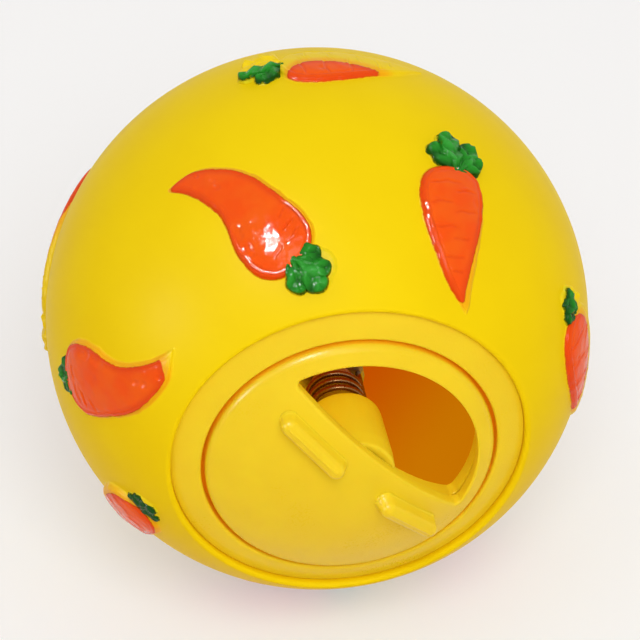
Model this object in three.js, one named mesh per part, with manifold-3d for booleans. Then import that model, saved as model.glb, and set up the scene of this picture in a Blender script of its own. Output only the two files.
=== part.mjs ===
// Treat dispensing ball: a hollow vinyl ball with raised carrots all over. A hard insert fills its
// mouth, and a sprung dial on the insert turns to open and close the way out for the treats.
// Millimetres, +Z up. The origin is the centre of the ball, and the dial faces -Y.

import * as THREE from "three";
import { mergeVertices } from "three/addons/utils/BufferGeometryUtils.js";
import Module from "manifold-3d";

const wasm = await Module();
wasm.setup();

// Clearances
const restGap = 0.3; // between pieces that rest on or in each other
const rimGap = 0.5; // round the rim of the dial
const glideGap = 0.4; // between the dial and the web behind it
const coilGap = 0.4; // between the spring and the shaft inside it

// Ball
const ballRadius = 37.5;
const vinylWall = 2.5;
const lipRound = 1.0; // rounding of the vinyl round its mouth

// Dial
const faceDepth = 2.1; // the faces of the insert and the dial lie this far below the ball's surface
const dialRadius = 19.8;
const dialWall = 2.0;
const dialRimRound = 0.7;
const shaftRadius = 2.9;
const gripLength = 11.7;
const gripWidth = 2.7;
const gripRise = 2.5;
const gripRound = 0.8;
const gripMiddle = 9.45; // from the dial's axis to the middle of a grip, along the straight edge
const gripOffset = 0.7; // from the dial's axis towards the opening
const gripRoot = 1.2; // how deep a grip goes into the dial

// Treat openings: the same D shape in the dial and in the web
const doorMargin = 2.5; // between the opening and the rim of the dial
const doorEdge = 4.6; // from the axis to the straight edge
const dialDoorTurn = 42; // way that the dial's opening faces, in degrees from +X towards +Z
const webDoorTurn = 43.5;

// Insert
const ringWidth = 3.7; // visible ring round the dial
const webWall = 2.0;
const flangeReach = 3.0; // how far the hidden flange grips behind the vinyl
const flangeWall = 1.6;
const hubRadius = 5.7;
const hubTaper = 0.5; // how much slimmer the hub is at its inner end
const hubLength = 9.6;
const hubRound = 1.0;

// Spring, washer and screw
const springRoom = 10.5; // between the hub and the washer
const wireDiameter = 0.8;
const springCurls = 4;
const springBend = 0.9; // radius of the bend from the last curl to its straight end
const washerRadius = 4.6;
const washerThickness = 0.8;
const screwRadius = 1.1;
const screwLength = 8.0; // beyond the washer
const screwHeadRadius = 2.9;
const screwHeadHeight = 1.7;
const screwFaceRadius = 2.0; // flat part of the domed head
const recessWidth = 0.7;
const recessSpan = 3.4;
const recessDepth = 0.9;

// Carrots: a bent root and a straight root, each with a leafy tuft
const rootRise = 1.2;
const rootSkirt = 0.35; // height of a side wall where a root or a tuft meets the ball
const tuftRadius = 3.7;
const tuftRise = 1.0;
const tuftLobes = 5;
const tuftLobeDepth = 0.26; // how far the notches between the leaves cut in, as a share of the radius

// Half widths of the roots, and how far they bow to the left of the leaves' heading, each at a share
// of the length from the tip. The tuft's middle is measured from the middle of the crown.
const bentRoot = {
  length: 23.4,
  halfWidths: [
    [0, 0],
    [0.05, 0.9],
    [0.13, 1.8],
    [0.26, 2.5],
    [0.38, 3.2],
    [0.51, 4.1],
    [0.64, 5.0],
    [0.77, 5.5],
    [0.9, 4.8],
    [0.975, 3.1],
    [1, 0],
  ],
  bow: [
    [0, 0],
    [0.13, 2.3],
    [0.26, 3.2],
    [0.38, 3.3],
    [0.51, 2.8],
    [0.64, 1.9],
    [0.77, 1.1],
    [1, 0.6],
  ],
  tuftAcross: 0.8,
  tuftAhead: 1.5,
};
const straightRoot = {
  length: 21.0,
  halfWidths: [
    [0, 0],
    [0.06, 0.8],
    [0.17, 1.7],
    [0.29, 2.5],
    [0.48, 3.4],
    [0.62, 4.1],
    [0.79, 5.0],
    [0.9, 4.6],
    [0.975, 2.9],
    [1, 0],
  ],
  bow: [
    [0, 0],
    [0.17, 1.4],
    [0.29, 1.8],
    [0.48, 1.6],
    [0.62, 1.3],
    [0.81, 0.6],
    [1, 0],
  ],
  tuftAcross: 1.6,
  tuftAhead: 1.7,
};

// Where each carrot sits: the middle of its root, as degrees from the dial's axis and degrees round
// it from +X towards +Z, and the way that its leaves point, as degrees from straight back towards
// a growing angle round the axis.
const carrots = [
  { root: bentRoot, from: 66.6, around: 113.8, leaves: -141.7 },
  { root: straightRoot, from: 60.4, around: 58.6, leaves: 15 },
  { root: bentRoot, from: 61, around: 160.2, leaves: 51 },
  { root: straightRoot, from: 65.1, around: -146.3, leaves: -142.6 },
  { root: straightRoot, from: 66.2, around: -0.4, leaves: 96.5 },
  { root: bentRoot, from: 72.2, around: -108, leaves: 109.3 },
  { root: straightRoot, from: 69.9, around: -63.5, leaves: 20.6 },
  { root: straightRoot, from: 108.7, around: 79.3, leaves: 95 },
  { root: bentRoot, from: 118.3, around: 172.9, leaves: 130 },
  { root: bentRoot, from: 122.9, around: 10.4, leaves: -40.4 },
  { root: straightRoot, from: 114, around: -52, leaves: 72 },
  { root: straightRoot, from: 116, around: -128, leaves: -66 },
  { root: bentRoot, from: 153.9, around: 113.9, leaves: 66.7 },
  { root: straightRoot, from: 146, around: -18, leaves: -120 },
  { root: bentRoot, from: 151, around: -150, leaves: 215 },
];

// Fineness of the curved surfaces
const roundSteps = 48;
const smallRoundSteps = 20;
const rootSteps = 10;
const stepsPerLobe = 4;
const tuftRows = 3;
const curlSteps = 8;
const wireSides = 5;

// Sizes that follow
const faceRadius = ballRadius - faceDepth;
const cavityRadius = ballRadius - vinylWall;
const doorRadius = dialRadius - doorMargin;
const seatRadius = dialRadius + rimGap;
const ringRadius = seatRadius + ringWidth;
const mouthRadius = ringRadius + restGap;
const dialBackRadius = faceRadius - dialWall;
const webRadius = dialBackRadius - glideGap;
const webBackRadius = webRadius - webWall;
const flangeRadius = cavityRadius - restGap;
const hubBore = shaftRadius + restGap;
const hubEnd = webRadius - hubLength; // heights are measured from the ball's centre towards the dial
const washerTop = hubEnd - springRoom;
const washerBottom = washerTop - washerThickness;
const headTop = washerBottom - restGap;
const shaftEnd = washerTop + restGap;
const screwBore = screwRadius + restGap;
const screwTip = washerTop + screwLength;
const springRadius = shaftRadius + coilGap + wireDiameter / 2;

const radians = THREE.MathUtils.degToRad;

// Height of a sphere about the ball's centre at a distance from the dial's axis
function sphereHeight(radius, distance) {
  return Math.sqrt(radius * radius - distance * distance);
}

// Points of a profile on a sphere, from one distance from the axis to another
function sphereArc(radius, fromDistance, toDistance, steps) {
  const start = Math.asin(fromDistance / radius);
  const end = Math.asin(toDistance / radius);
  const points = [];
  for (let i = 0; i <= steps; i++) {
    const angle = start + ((end - start) * i) / steps;
    points.push([radius * Math.sin(angle), radius * Math.cos(angle)]);
  }
  return points;
}

// Points that round the corner between two straight stretches of a profile
function roundedCorner(before, corner, after, radius, steps) {
  const c = new THREE.Vector2(...corner);
  const a = new THREE.Vector2(...before).sub(c).normalize();
  const b = new THREE.Vector2(...after).sub(c).normalize();
  const half = Math.acos(a.dot(b)) / 2;
  const centre = a.clone().add(b).normalize().multiplyScalar(radius / Math.sin(half)).add(c);
  const start = a.multiplyScalar(radius / Math.tan(half)).add(c).sub(centre);
  const end = b.multiplyScalar(radius / Math.tan(half)).add(c).sub(centre);
  let sweep = end.angle() - start.angle();
  if (sweep > Math.PI) sweep -= 2 * Math.PI;
  if (sweep < -Math.PI) sweep += 2 * Math.PI;
  const points = [];
  for (let i = 0; i <= steps; i++) {
    const p = start.clone().rotateAround(new THREE.Vector2(), (sweep * i) / steps).add(centre);
    points.push([p.x, p.y]);
  }
  return points;
}

// A body turned about the dial's axis from [distance from the axis, height towards the dial] points
function turned(profile, steps) {
  const points = profile.map(([distance, height]) => new THREE.Vector2(distance, -height));
  return new THREE.LatheGeometry(points, steps);
}

function solidOf(geometry) {
  const bare = geometry.clone();
  bare.deleteAttribute("normal");
  bare.deleteAttribute("uv");
  const merged = mergeVertices(bare);
  const mesh = new wasm.Mesh({
    numProp: 3,
    vertProperties: merged.getAttribute("position").array,
    triVerts: new Uint32Array(merged.index.array),
  });
  return new wasm.Manifold(mesh);
}

function geometryOf(solid) {
  const { vertProperties, triVerts } = solid.getMesh();
  const geometry = new THREE.BufferGeometry();
  geometry.setAttribute("position", new THREE.BufferAttribute(vertProperties, 3));
  geometry.setIndex(new THREE.BufferAttribute(triVerts, 1));
  return geometry;
}

function finish(colour, roughness, metalness) {
  return new THREE.MeshStandardMaterial({ color: colour, roughness, metalness });
}

function piece(name, geometry, material) {
  const mesh = new THREE.Mesh(geometry, material);
  mesh.name = name;
  return mesh;
}

const vinyl = () => finish(0xf0d000, 0.38, 0);
const hardPlastic = () => finish(0xe8cf3c, 0.32, 0);
const carrotPaint = () => finish(0xf25a0a, 0.25, 0);
const leafPaint = () => finish(0x15862c, 0.3, 0);
const steel = () => finish(0xb08a5c, 0.3, 1);

// Vinyl ball with its open mouth
function ballShell() {
  const outerHeight = sphereHeight(ballRadius, mouthRadius);
  const corner = [mouthRadius, outerHeight];
  const outward = [mouthRadius + outerHeight, outerHeight - mouthRadius]; // along the ball's surface
  const lip = roundedCorner(outward, corner, [mouthRadius, 0], lipRound, 4);
  const start = Math.asin(lip[0][0] / ballRadius);
  const outer = [];
  const outerSteps = 20;
  for (let i = 0; i < outerSteps; i++) {
    const angle = Math.PI - ((Math.PI - start) * i) / outerSteps;
    outer.push([ballRadius * Math.sin(angle), ballRadius * Math.cos(angle)]);
  }
  const inner = [];
  const innerSteps = 14;
  const innerStart = Math.asin(mouthRadius / cavityRadius);
  for (let i = 0; i <= innerSteps; i++) {
    const angle = innerStart + ((Math.PI - innerStart) * i) / innerSteps;
    inner.push([cavityRadius * Math.sin(angle), cavityRadius * Math.cos(angle)]);
  }
  outer[0][0] = 0;
  inner[innerSteps][0] = 0;
  return turned([...outer, ...lip, ...inner].reverse(), roundSteps);
}

// Prism of the D-shaped opening, along the dial's axis
function doorPrism(turn) {
  const half = Math.acos(doorEdge / doorRadius);
  const shape = new THREE.Shape();
  shape.absarc(0, 0, doorRadius, radians(turn) - half, radians(turn) + half, false);
  shape.closePath();
  const prism = new THREE.ExtrudeGeometry(shape, {
    depth: ballRadius,
    bevelEnabled: false,
    curveSegments: roundSteps / 2,
  });
  return prism.rotateX(Math.PI / 2);
}

// Insert: the ring and its hidden flange, the web behind the dial and the hub that guides the shaft
function insertBody() {
  const ringInner = sphereHeight(faceRadius, seatRadius);
  const flangeEdge = ringRadius + flangeReach;
  const flangeBack = flangeRadius - flangeWall;
  const ring = [
    ...sphereArc(webRadius, hubBore, seatRadius, 6),
    [seatRadius, ringInner],
    ...sphereArc(faceRadius, seatRadius, ringRadius, 2).slice(1),
    ...sphereArc(flangeRadius, ringRadius, flangeEdge, 2),
    ...sphereArc(flangeBack, flangeEdge - flangeWall / 2, ringRadius, 1),
    ...sphereArc(webBackRadius, seatRadius + ringWidth / 2, hubBore, 6),
    [hubBore, sphereHeight(webRadius, hubBore)],
  ];
  const hubFoot = sphereHeight(webBackRadius, hubRadius);
  const hubTip = hubRadius - hubTaper;
  const hub = [
    [hubBore, sphereHeight(webRadius, hubBore)],
    [hubRadius, sphereHeight(webRadius, hubRadius)],
    [hubRadius, hubFoot],
    ...roundedCorner([hubRadius, hubFoot], [hubTip, hubEnd], [0, hubEnd], hubRound, 3),
    [hubBore, hubEnd],
    [hubBore, sphereHeight(webRadius, hubBore)],
  ];
  const opened = solidOf(turned(ring, roundSteps)).subtract(solidOf(doorPrism(webDoorTurn)));
  return geometryOf(opened.add(solidOf(turned(hub, roundSteps))));
}

// Finger grip: a bar with rounded ends that stands on the dial's face
function gripBar(side) {
  const across = gripWidth / 2 - gripRound;
  const along = gripLength / 2 - gripRound;
  const shape = new THREE.Shape();
  shape.absarc(along - across, 0, across, -Math.PI / 2, Math.PI / 2, false);
  shape.absarc(across - along, 0, across, Math.PI / 2, (3 * Math.PI) / 2, false);
  const bar = new THREE.ExtrudeGeometry(shape, {
    depth: gripRoot + gripRise - gripRound,
    bevelThickness: gripRound,
    bevelSize: gripRound,
    bevelSegments: 2,
    curveSegments: 4,
  });
  bar.translate(0, 0, -gripRoot);
  const turn = radians(dialDoorTurn);
  const towardsDoor = new THREE.Vector3(Math.cos(turn), 0, Math.sin(turn));
  const alongEdge = new THREE.Vector3(Math.sin(turn) * side, 0, -Math.cos(turn) * side);
  const foot = alongEdge.clone().multiplyScalar(gripMiddle).addScaledVector(towardsDoor, gripOffset);
  foot.y = -sphereHeight(faceRadius, Math.hypot(gripMiddle, gripOffset));
  const up = foot.clone().normalize();
  const lengthwise = alongEdge.clone().addScaledVector(up, -alongEdge.dot(up)).normalize();
  const crosswise = new THREE.Vector3().crossVectors(up, lengthwise);
  const place = new THREE.Matrix4().makeBasis(lengthwise, crosswise, up).setPosition(foot);
  return bar.applyMatrix4(place);
}

// Dial with its shaft and two grips
function dialBody() {
  const rimHeight = sphereHeight(faceRadius, dialRadius);
  const rimBack = sphereHeight(dialBackRadius, dialRadius);
  const inward = [0, rimHeight + dialWall];
  const edge = [dialRadius, rimHeight];
  const rim = roundedCorner(inward, edge, [dialRadius, 0], dialRimRound, 3);
  const boreTop = screwTip + restGap;
  const profile = [
    ...sphereArc(faceRadius, 0, rim[0][0], 6).slice(0, -1),
    ...rim,
    [dialRadius, rimBack],
    ...sphereArc(dialBackRadius, dialRadius, shaftRadius, 5).slice(1),
    [shaftRadius, shaftEnd],
    [screwBore, shaftEnd],
    [screwBore, boreTop],
    [0, boreTop],
  ];
  const plate = solidOf(turned(profile, roundSteps)).subtract(solidOf(doorPrism(dialDoorTurn)));
  return geometryOf(plate.add(solidOf(gripBar(1))).add(solidOf(gripBar(-1))));
}

function washerBody() {
  const profile = [
    [screwBore, washerTop],
    [washerRadius, washerTop],
    [washerRadius, washerBottom],
    [screwBore, washerBottom],
    [screwBore, washerTop],
  ];
  return turned(profile, smallRoundSteps);
}

// Screw with a domed head and a cross recess
function screwBody() {
  const headBottom = headTop - screwHeadHeight;
  const profile = [
    [0, screwTip],
    [screwRadius, screwTip - screwRadius],
    [screwRadius, headTop],
    [screwHeadRadius, headTop],
    [screwHeadRadius, headTop - screwHeadHeight / 2],
    [screwFaceRadius, headBottom],
    [0, headBottom],
  ];
  let screw = solidOf(turned(profile, smallRoundSteps));
  for (const [wide, high] of [[recessSpan, recessWidth], [recessWidth, recessSpan]]) {
    const slot = new THREE.BoxGeometry(wide, 2 * recessDepth, high);
    screw = screw.subtract(solidOf(slot.translate(0, -headBottom, 0)));
  }
  return geometryOf(screw);
}

// The wire's middle line: a straight end, a bend into the curls, the curls, and the same again
function springLine() {
  const top = hubEnd - restGap;
  const bottom = washerTop + restGap;
  const straight = wireDiameter;
  const rise = springBend + straight;
  const bendTurn = springBend / springRadius;
  const bendSteps = 3;
  const points = [];
  const tangents = [];
  const at = (angle, height) => {
    return new THREE.Vector3(springRadius * Math.cos(angle), -height, springRadius * Math.sin(angle));
  };
  const add = (angle, height, forward, down) => {
    const tangent = new THREE.Vector3(-Math.sin(angle) * forward, down, Math.cos(angle) * forward);
    points.push(at(angle, height));
    tangents.push(tangent.normalize());
  };
  const turns = springCurls * 2 * Math.PI;
  const fall = top - bottom - 2 * rise;
  const slope = fall / (turns * springRadius);
  add(-bendTurn, top, 0, 1);
  for (let i = 0; i < bendSteps; i++) {
    const bend = ((Math.PI / 2) * i) / bendSteps;
    const forward = (1 - Math.cos(bend)) * bendTurn;
    const height = top - straight - springBend * Math.sin(bend);
    add(forward - bendTurn, height, Math.sin(bend), Math.cos(bend));
  }
  const steps = springCurls * curlSteps;
  for (let i = 0; i <= steps; i++) {
    add((turns * i) / steps, top - rise - (fall * i) / steps, 1, slope);
  }
  for (let i = bendSteps - 1; i >= 0; i--) {
    const bend = ((Math.PI / 2) * i) / bendSteps;
    const forward = (1 - Math.cos(bend)) * bendTurn;
    const height = bottom + straight + springBend * Math.sin(bend);
    add(turns + bendTurn - forward, height, Math.sin(bend), Math.cos(bend));
  }
  add(turns + bendTurn, bottom, 0, 1);
  return { points, tangents };
}

// Least distance between stretches of the wire that lie half a curl or more apart along it
function leastWireGap(points) {
  let least = Infinity;
  for (let i = 0; i < points.length; i++) {
    for (let j = i + curlSteps / 2; j < points.length; j++) {
      least = Math.min(least, points[i].distanceTo(points[j]) - wireDiameter);
    }
  }
  return least;
}

// One unbroken tube along the wire's middle line
function springBody() {
  const { points, tangents } = springLine();
  console.log("least gap of the spring to itself, mm:", leastWireGap(points).toFixed(2));
  const positions = [];
  const index = [];
  points.forEach((point, ring) => {
    const outward = new THREE.Vector3(point.x, 0, point.z).normalize();
    const sideways = new THREE.Vector3().crossVectors(tangents[ring], outward).normalize();
    for (let side = 0; side < wireSides; side++) {
      const angle = (2 * Math.PI * side) / wireSides;
      const p = point.clone();
      p.addScaledVector(outward, (wireDiameter / 2) * Math.cos(angle));
      p.addScaledVector(sideways, (wireDiameter / 2) * Math.sin(angle));
      positions.push(p.x, p.y, p.z);
    }
  });
  for (let ring = 0; ring + 1 < points.length; ring++) {
    for (let side = 0; side < wireSides; side++) {
      const a = ring * wireSides + side;
      const b = ring * wireSides + ((side + 1) % wireSides);
      index.push(a, b, a + wireSides, b, b + wireSides, a + wireSides);
    }
  }
  const last = (points.length - 1) * wireSides;
  for (let side = 1; side + 1 < wireSides; side++) {
    index.push(0, side + 1, side, last, last + side, last + side + 1);
  }
  const tube = new THREE.BufferGeometry();
  tube.setAttribute("position", new THREE.Float32BufferAttribute(positions, 3));
  tube.setIndex(index);
  return tube;
}

// Value of a chain of [share, value] points at a share of the root's length
function along(chain, share) {
  for (let i = 1; i < chain.length; i++) {
    const [start, before] = chain[i - 1];
    const [end, after] = chain[i];
    if (share <= end) return before + ((after - before) * (share - start)) / (end - start);
  }
  return chain[chain.length - 1][1];
}

// Lays a flat shape on the ball: x runs across, y towards the leaves and z out of the ball
function laidOnBall(geometry, carrot) {
  const from = radians(carrot.from);
  const around = radians(carrot.around);
  const leaves = radians(carrot.leaves);
  const out = new THREE.Vector3(
    Math.sin(from) * Math.cos(around),
    -Math.cos(from),
    Math.sin(from) * Math.sin(around),
  );
  const back = new THREE.Vector3(
    Math.cos(from) * Math.cos(around),
    Math.sin(from),
    Math.cos(from) * Math.sin(around),
  );
  const round = new THREE.Vector3().crossVectors(out, back);
  const ahead = back.clone().multiplyScalar(Math.cos(leaves)).addScaledVector(round, Math.sin(leaves));
  const across = new THREE.Vector3().crossVectors(ahead, out);
  const position = geometry.getAttribute("position");
  const flat = new THREE.Vector3();
  for (let i = 0; i < position.count; i++) {
    flat.fromBufferAttribute(position, i);
    const reach = Math.hypot(flat.x, flat.y);
    const way = ahead.clone().multiplyScalar(flat.y).addScaledVector(across, flat.x);
    const angle = reach / ballRadius;
    const p = out.clone().multiplyScalar(Math.cos(angle));
    if (reach > 0) p.addScaledVector(way, Math.sin(angle) / reach);
    p.multiplyScalar(ballRadius + restGap + flat.z);
    position.setXYZ(i, p.x, p.y, p.z);
  }
  return geometry;
}

// Root of a carrot, domed above and flat where it lies on the ball. With a margin it is the room
// that the root and the gap round it take.
function rootBody(carrot, margin) {
  const { length, halfWidths, bow } = carrot.root;
  const widest = Math.max(...halfWidths.map(([, half]) => half));
  const profile = halfWidths.map(([share, half], i) => {
    const end = i === 0 ? -margin : i === halfWidths.length - 1 ? margin : 0;
    const grown = half > 0 ? half + margin : 0;
    return new THREE.Vector2(grown, share * length + end);
  });
  const body = new THREE.LatheGeometry(profile, rootSteps, Math.PI / rootSteps);
  const position = body.getAttribute("position");
  for (let i = 0; i < position.count; i++) {
    const place = position.getY(i);
    const side = position.getX(i);
    const height = position.getZ(i);
    const lift = (height * (rootRise - rootSkirt)) / widest;
    const raised = height > 0 ? lift + rootSkirt + margin : -margin;
    position.setXYZ(i, side - along(bow, place / length), place - length / 2, raised);
  }
  return laidOnBall(body, carrot);
}

// Leafy tuft at the crown of a root: a low dome with a notched edge
function tuftBody(carrot) {
  const { length, bow, tuftAcross, tuftAhead } = carrot.root;
  const profile = [new THREE.Vector2(0, 0), new THREE.Vector2(tuftRadius, 0)];
  for (let i = 0; i < tuftRows; i++) {
    const angle = (Math.PI / 2) * (i / tuftRows);
    const height = rootSkirt + (tuftRise - rootSkirt) * Math.sin(angle);
    profile.push(new THREE.Vector2(tuftRadius * Math.cos(angle), height));
  }
  profile.push(new THREE.Vector2(0, tuftRise));
  const dome = new THREE.LatheGeometry(profile, tuftLobes * stepsPerLobe);
  const position = dome.getAttribute("position");
  for (let i = 0; i < position.count; i++) {
    const angle = Math.atan2(position.getX(i), position.getZ(i));
    const leaf = Math.abs(Math.cos((tuftLobes * angle) / 2));
    const spread = 1 - tuftLobeDepth * (1 - leaf);
    const x = tuftAcross - along(bow, 1) - position.getX(i) * spread;
    const y = length / 2 + tuftAhead + position.getZ(i) * spread;
    position.setXYZ(i, x, y, position.getY(i));
  }
  return laidOnBall(dome, carrot);
}

const ball = new THREE.Group();
ball.add(piece("ball_shell", ballShell(), vinyl()));
ball.add(piece("insert", insertBody(), hardPlastic()));
carrots.forEach((carrot, i) => {
  const label = String(i + 1).padStart(2, "0");
  const root = rootBody(carrot, 0);
  const tuft = solidOf(tuftBody(carrot)).subtract(solidOf(rootBody(carrot, restGap)));
  ball.add(piece(`carrot_${label}_root`, root, carrotPaint()));
  ball.add(piece(`carrot_${label}_leaves`, geometryOf(tuft), leafPaint()));
});

const turningDial = new THREE.Group();
turningDial.add(piece("dial", dialBody(), hardPlastic()));
turningDial.add(piece("spring", springBody(), steel()));
turningDial.add(piece("washer", washerBody(), steel()));
turningDial.add(piece("screw", screwBody(), steel()));

const treatBall = new THREE.Group();
treatBall.add(ball, turningDial);

export default treatBall;
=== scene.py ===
"""Looks of the treat dispensing ball: a soft vinyl ball with painted carrots and a turning dial."""

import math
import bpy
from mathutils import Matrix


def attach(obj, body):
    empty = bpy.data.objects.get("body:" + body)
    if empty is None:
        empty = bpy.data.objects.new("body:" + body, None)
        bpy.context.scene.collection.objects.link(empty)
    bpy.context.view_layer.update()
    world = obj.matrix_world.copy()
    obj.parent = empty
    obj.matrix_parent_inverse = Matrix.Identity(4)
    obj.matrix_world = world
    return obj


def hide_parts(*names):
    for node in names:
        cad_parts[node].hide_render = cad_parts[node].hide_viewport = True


bl_info = {
    "name": "Treat Ball",
    "version": (1, 0, 0),
    "blender": (4, 5, 0),
    "location": "3D View > Sidebar > Treat Ball",
    "description": "Builds a carrot-studded treat ball with a turning dial round its packed model",
    "category": "Object",
}

import bmesh
import bpy
import numpy as np
from mathutils import Vector

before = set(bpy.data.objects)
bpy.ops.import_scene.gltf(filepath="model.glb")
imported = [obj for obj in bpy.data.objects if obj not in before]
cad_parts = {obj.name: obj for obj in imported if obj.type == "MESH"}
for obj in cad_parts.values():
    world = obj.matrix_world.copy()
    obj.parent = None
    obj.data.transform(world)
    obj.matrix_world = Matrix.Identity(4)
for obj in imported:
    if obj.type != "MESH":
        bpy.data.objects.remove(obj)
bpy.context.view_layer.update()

MM = 0.001

# Fineness: steps round or along a form, and rows across it
ROUND_STEPS = 288
HUB_STEPS = 160
SHAFT_STEPS = 96
GRIP_STEPS = 64
CONTOUR_STEPS = 460
CURL_STEPS = 48
BEND_STEPS = 9
EDGE_STEPS = 6
WIRE_SIDES = 14
OUTER_ROWS = 150
INNER_ROWS = 70
PLATE_ROWS = 26
ROOT_STEPS = 190
ROOT_ROWS = 27
LEAFLET_STEPS = 44
LEAFLET_ROWS = 15
PAD_STEPS = 96
PAD_ROWS = 14
MERGE_DISTANCE = 0.5e-6  # metres

# Relief of the carrots, in millimetres. A skirt is the row of distances outside an outline. A slope
# goes from one depth inside the outline to another, and a depth outside it is less than 0. A spine
# lies between two shares of the length.
ROOT_SKIRT = (0.5, 0.36, 0.23, 0.11)
LEAFLET_SKIRT = (0.3, 0.14)
PAD_SKIRT = (0.4, 0.25, 0.12)
ROOT_SPINE = (0.02, 0.8)
LEAFLET_SPINE = (0.06, 0.78)
ROOT_SLOPE = (-0.42, 0.24)
LEAFLET_SLOPE = (-0.26, 0.16)
PAD_SLOPE = (-0.35, 0.3)
DETAIL_SLOPE = (0.5, 1.1)  # where grooves, dents and unevenness set in
SPRAY_SLOPE = (-0.48, -0.02)
RING_CROWDING = 1.6  # above 1, rings lie closer together towards the outline
BEAD_INSET, BEAD_WIDTH = 0.55, 0.13
GUTTER_INSET, GUTTER_WIDTH, GUTTER_SHARE = 0.85, 0.16, 0.8
GROOVE_WIDTH, GROOVE_DEPTH, GROOVE_RIDGE = 0.15, 0.15, 0.07
DENT_GAIN = 1.3
UNEVENNESS = 0.016
PAD_UNEVENNESS = 0.012
GROOVE_RIDGE_OFFSET = 2.2  # from a groove to the ridge beside it, in groove widths
PAINT_OVERLAP = 0.2  # how far the paint reaches past a root's side
PAINT_OVERRUN = 0.22  # how far it reaches past the outline all round
SPRAY_REACH = 2.3  # how far the thin spray reaches past the paint
BARE_SHARES = (0.15, 0.95)  # where a bare strip has its width of the tip and of the crown
LEAF_OVERRUN = 0.1
PAD_PAINT = -0.3
LEAFLET_BLADE = [(0, 0.35), (0.2, 0.5), (0.42, 0.85), (0.62, 1.0), (0.8, 0.9), (1, 0.9)]
LEAFLET_CROWN = 0.72  # share of a leaflet's length from which its end is rounded
FOLD_LENGTH, FOLD_SHARE = 2.3, 0.4
RIB_WIDTH, RIB_SHARE = 0.18, 0.12
TILT_SHARE = 0.22
LOBE_SHARE = 0.12
SUNK = 0.03  # how far a relief is let into the ball
KEEL_SHARE = 0.7  # how far its closed underside reaches into the vinyl, as a share of the wall
SUNK_EDGE = -0.05  # height of the outermost row of a leaflet or a pad

# Values of a carrot's attributes where nothing else is said. Paint is a depth inside its edge.
BARE = -9.0
PLAIN = {"root_paint": BARE, "leaf_paint": BARE, "relief": 0.0, "spray": 0.0, "groove_shade": 0.0}

# Noise scales, as changes a metre
PATCH_SCALE = 260.0
FLOW_SCALE = 380.0
CRINKLE_SCALE = 950.0
PEEL_SCALE = 1500.0
GLOSS_SCALE = 1800.0

# Tones that go with the colours of the property groups
BLACK = (0, 0, 0, 1)
WHITE = (1, 1, 1, 1)
# painted shade: the darker colour of the ball's inner wall
INNER_WALL_SHADE_TINT = (0.26, 0.075, 0.002, 1)
# painted light on the tops of the leaflets
LEAF_TOP_LIGHT_TINT = (0.05, 0.42, 0.06, 1)
LEAF_SPRAY_TINT = (0.3, 0.55, 0.02, 1)
# painted shade and painted glow in the seam round the dial
SEAM_SHADE_TINT = (0.8, 0.3, 0.003, 1)
SEAM_PAINTED_GLOW = (0.5, 0.17, 0.001, 1)
SHADED_TINT = (0.4, 0.11, 0.003, 1)
DULL_METAL = (0.62, 0.62, 0.62, 1)
# the inner wall's painted glow grows brighter along this way
LIT_SIDE = (0.73, -0.51, -0.455)  # way across the ball's inside towards its brighter wall
LIT_SLOPE = (8, 26)  # where that way the wall grows brighter, in millimetres from the middle

# Stage, in metres. Lamps are (name, place, diameter). All but the key lamp only make glints.
FLOOR_REACH = 6.0
SENSOR_WIDTH = 36
CAMERA_SHIFT = (0.0047, -0.0025)
LAMPS = [
    ("key", (0.0, -0.64, 0.76), 0.5),
    ("glint_high", (-0.33, -0.2, 0.92), 0.07),
    ("glint_low", (-0.38, -0.34, 0.87), 0.07),
    ("glint_side", (-0.93, -0.2, 0.3), 0.07),
]

# Shapes of the moulded carrots, in millimetres on flat ground. Half widths and the bow to the left of
# the leaves' heading stand at shares of the length from the tip. From "shoulder" on, the half width
# follows a rounded crown. Grooves are (ahead, to the right, reach) and dents (to the right, ahead,
# reach, depth), both from the middle of the root.
BENT_ROOT = {
    "length": 23.2,
    "half_widths": [
        (0, 0), (0.02, 0.5), (0.07, 1.4), (0.134, 1.95), (0.226, 2.5), (0.333, 3.06),
        (0.425, 3.5), (0.507, 4.06), (0.582, 4.65), (0.67, 5.15), (0.757, 5.35), (1, 5.35),
    ],
    "bow": [
        (0, 0.1), (0.07, 1.9), (0.134, 2.7), (0.226, 3.3), (0.333, 3.6), (0.425, 3.5),
        (0.507, 2.95), (0.582, 2.15), (0.67, 1.4), (0.757, 0.9), (0.853, 0.6), (1, 0.7),
    ],
    "shoulder": 0.757,
    "squareness": 2.3,
    "grooves": [
        (8.6, -1.6, 1.5), (7.2, -2.6, 1.2), (5.6, -3.4, 1.0), (8.2, 1.2, 1.0),
    ],
    "dents": [
        (-3.3, -8.4, 0.3, 0.13), (-3.6, -5.6, 0.35, 0.12), (-3.1, -4.4, 0.4, 0.14),
        (0.6, 1.6, 0.55, 0.16), (1.3, 2.5, 0.45, 0.13), (2.2, 4.2, 0.6, 0.15),
        (2.5, 5.2, 0.4, 0.12), (-1.0, 3.4, 0.5, 0.05),
    ],
}
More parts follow.
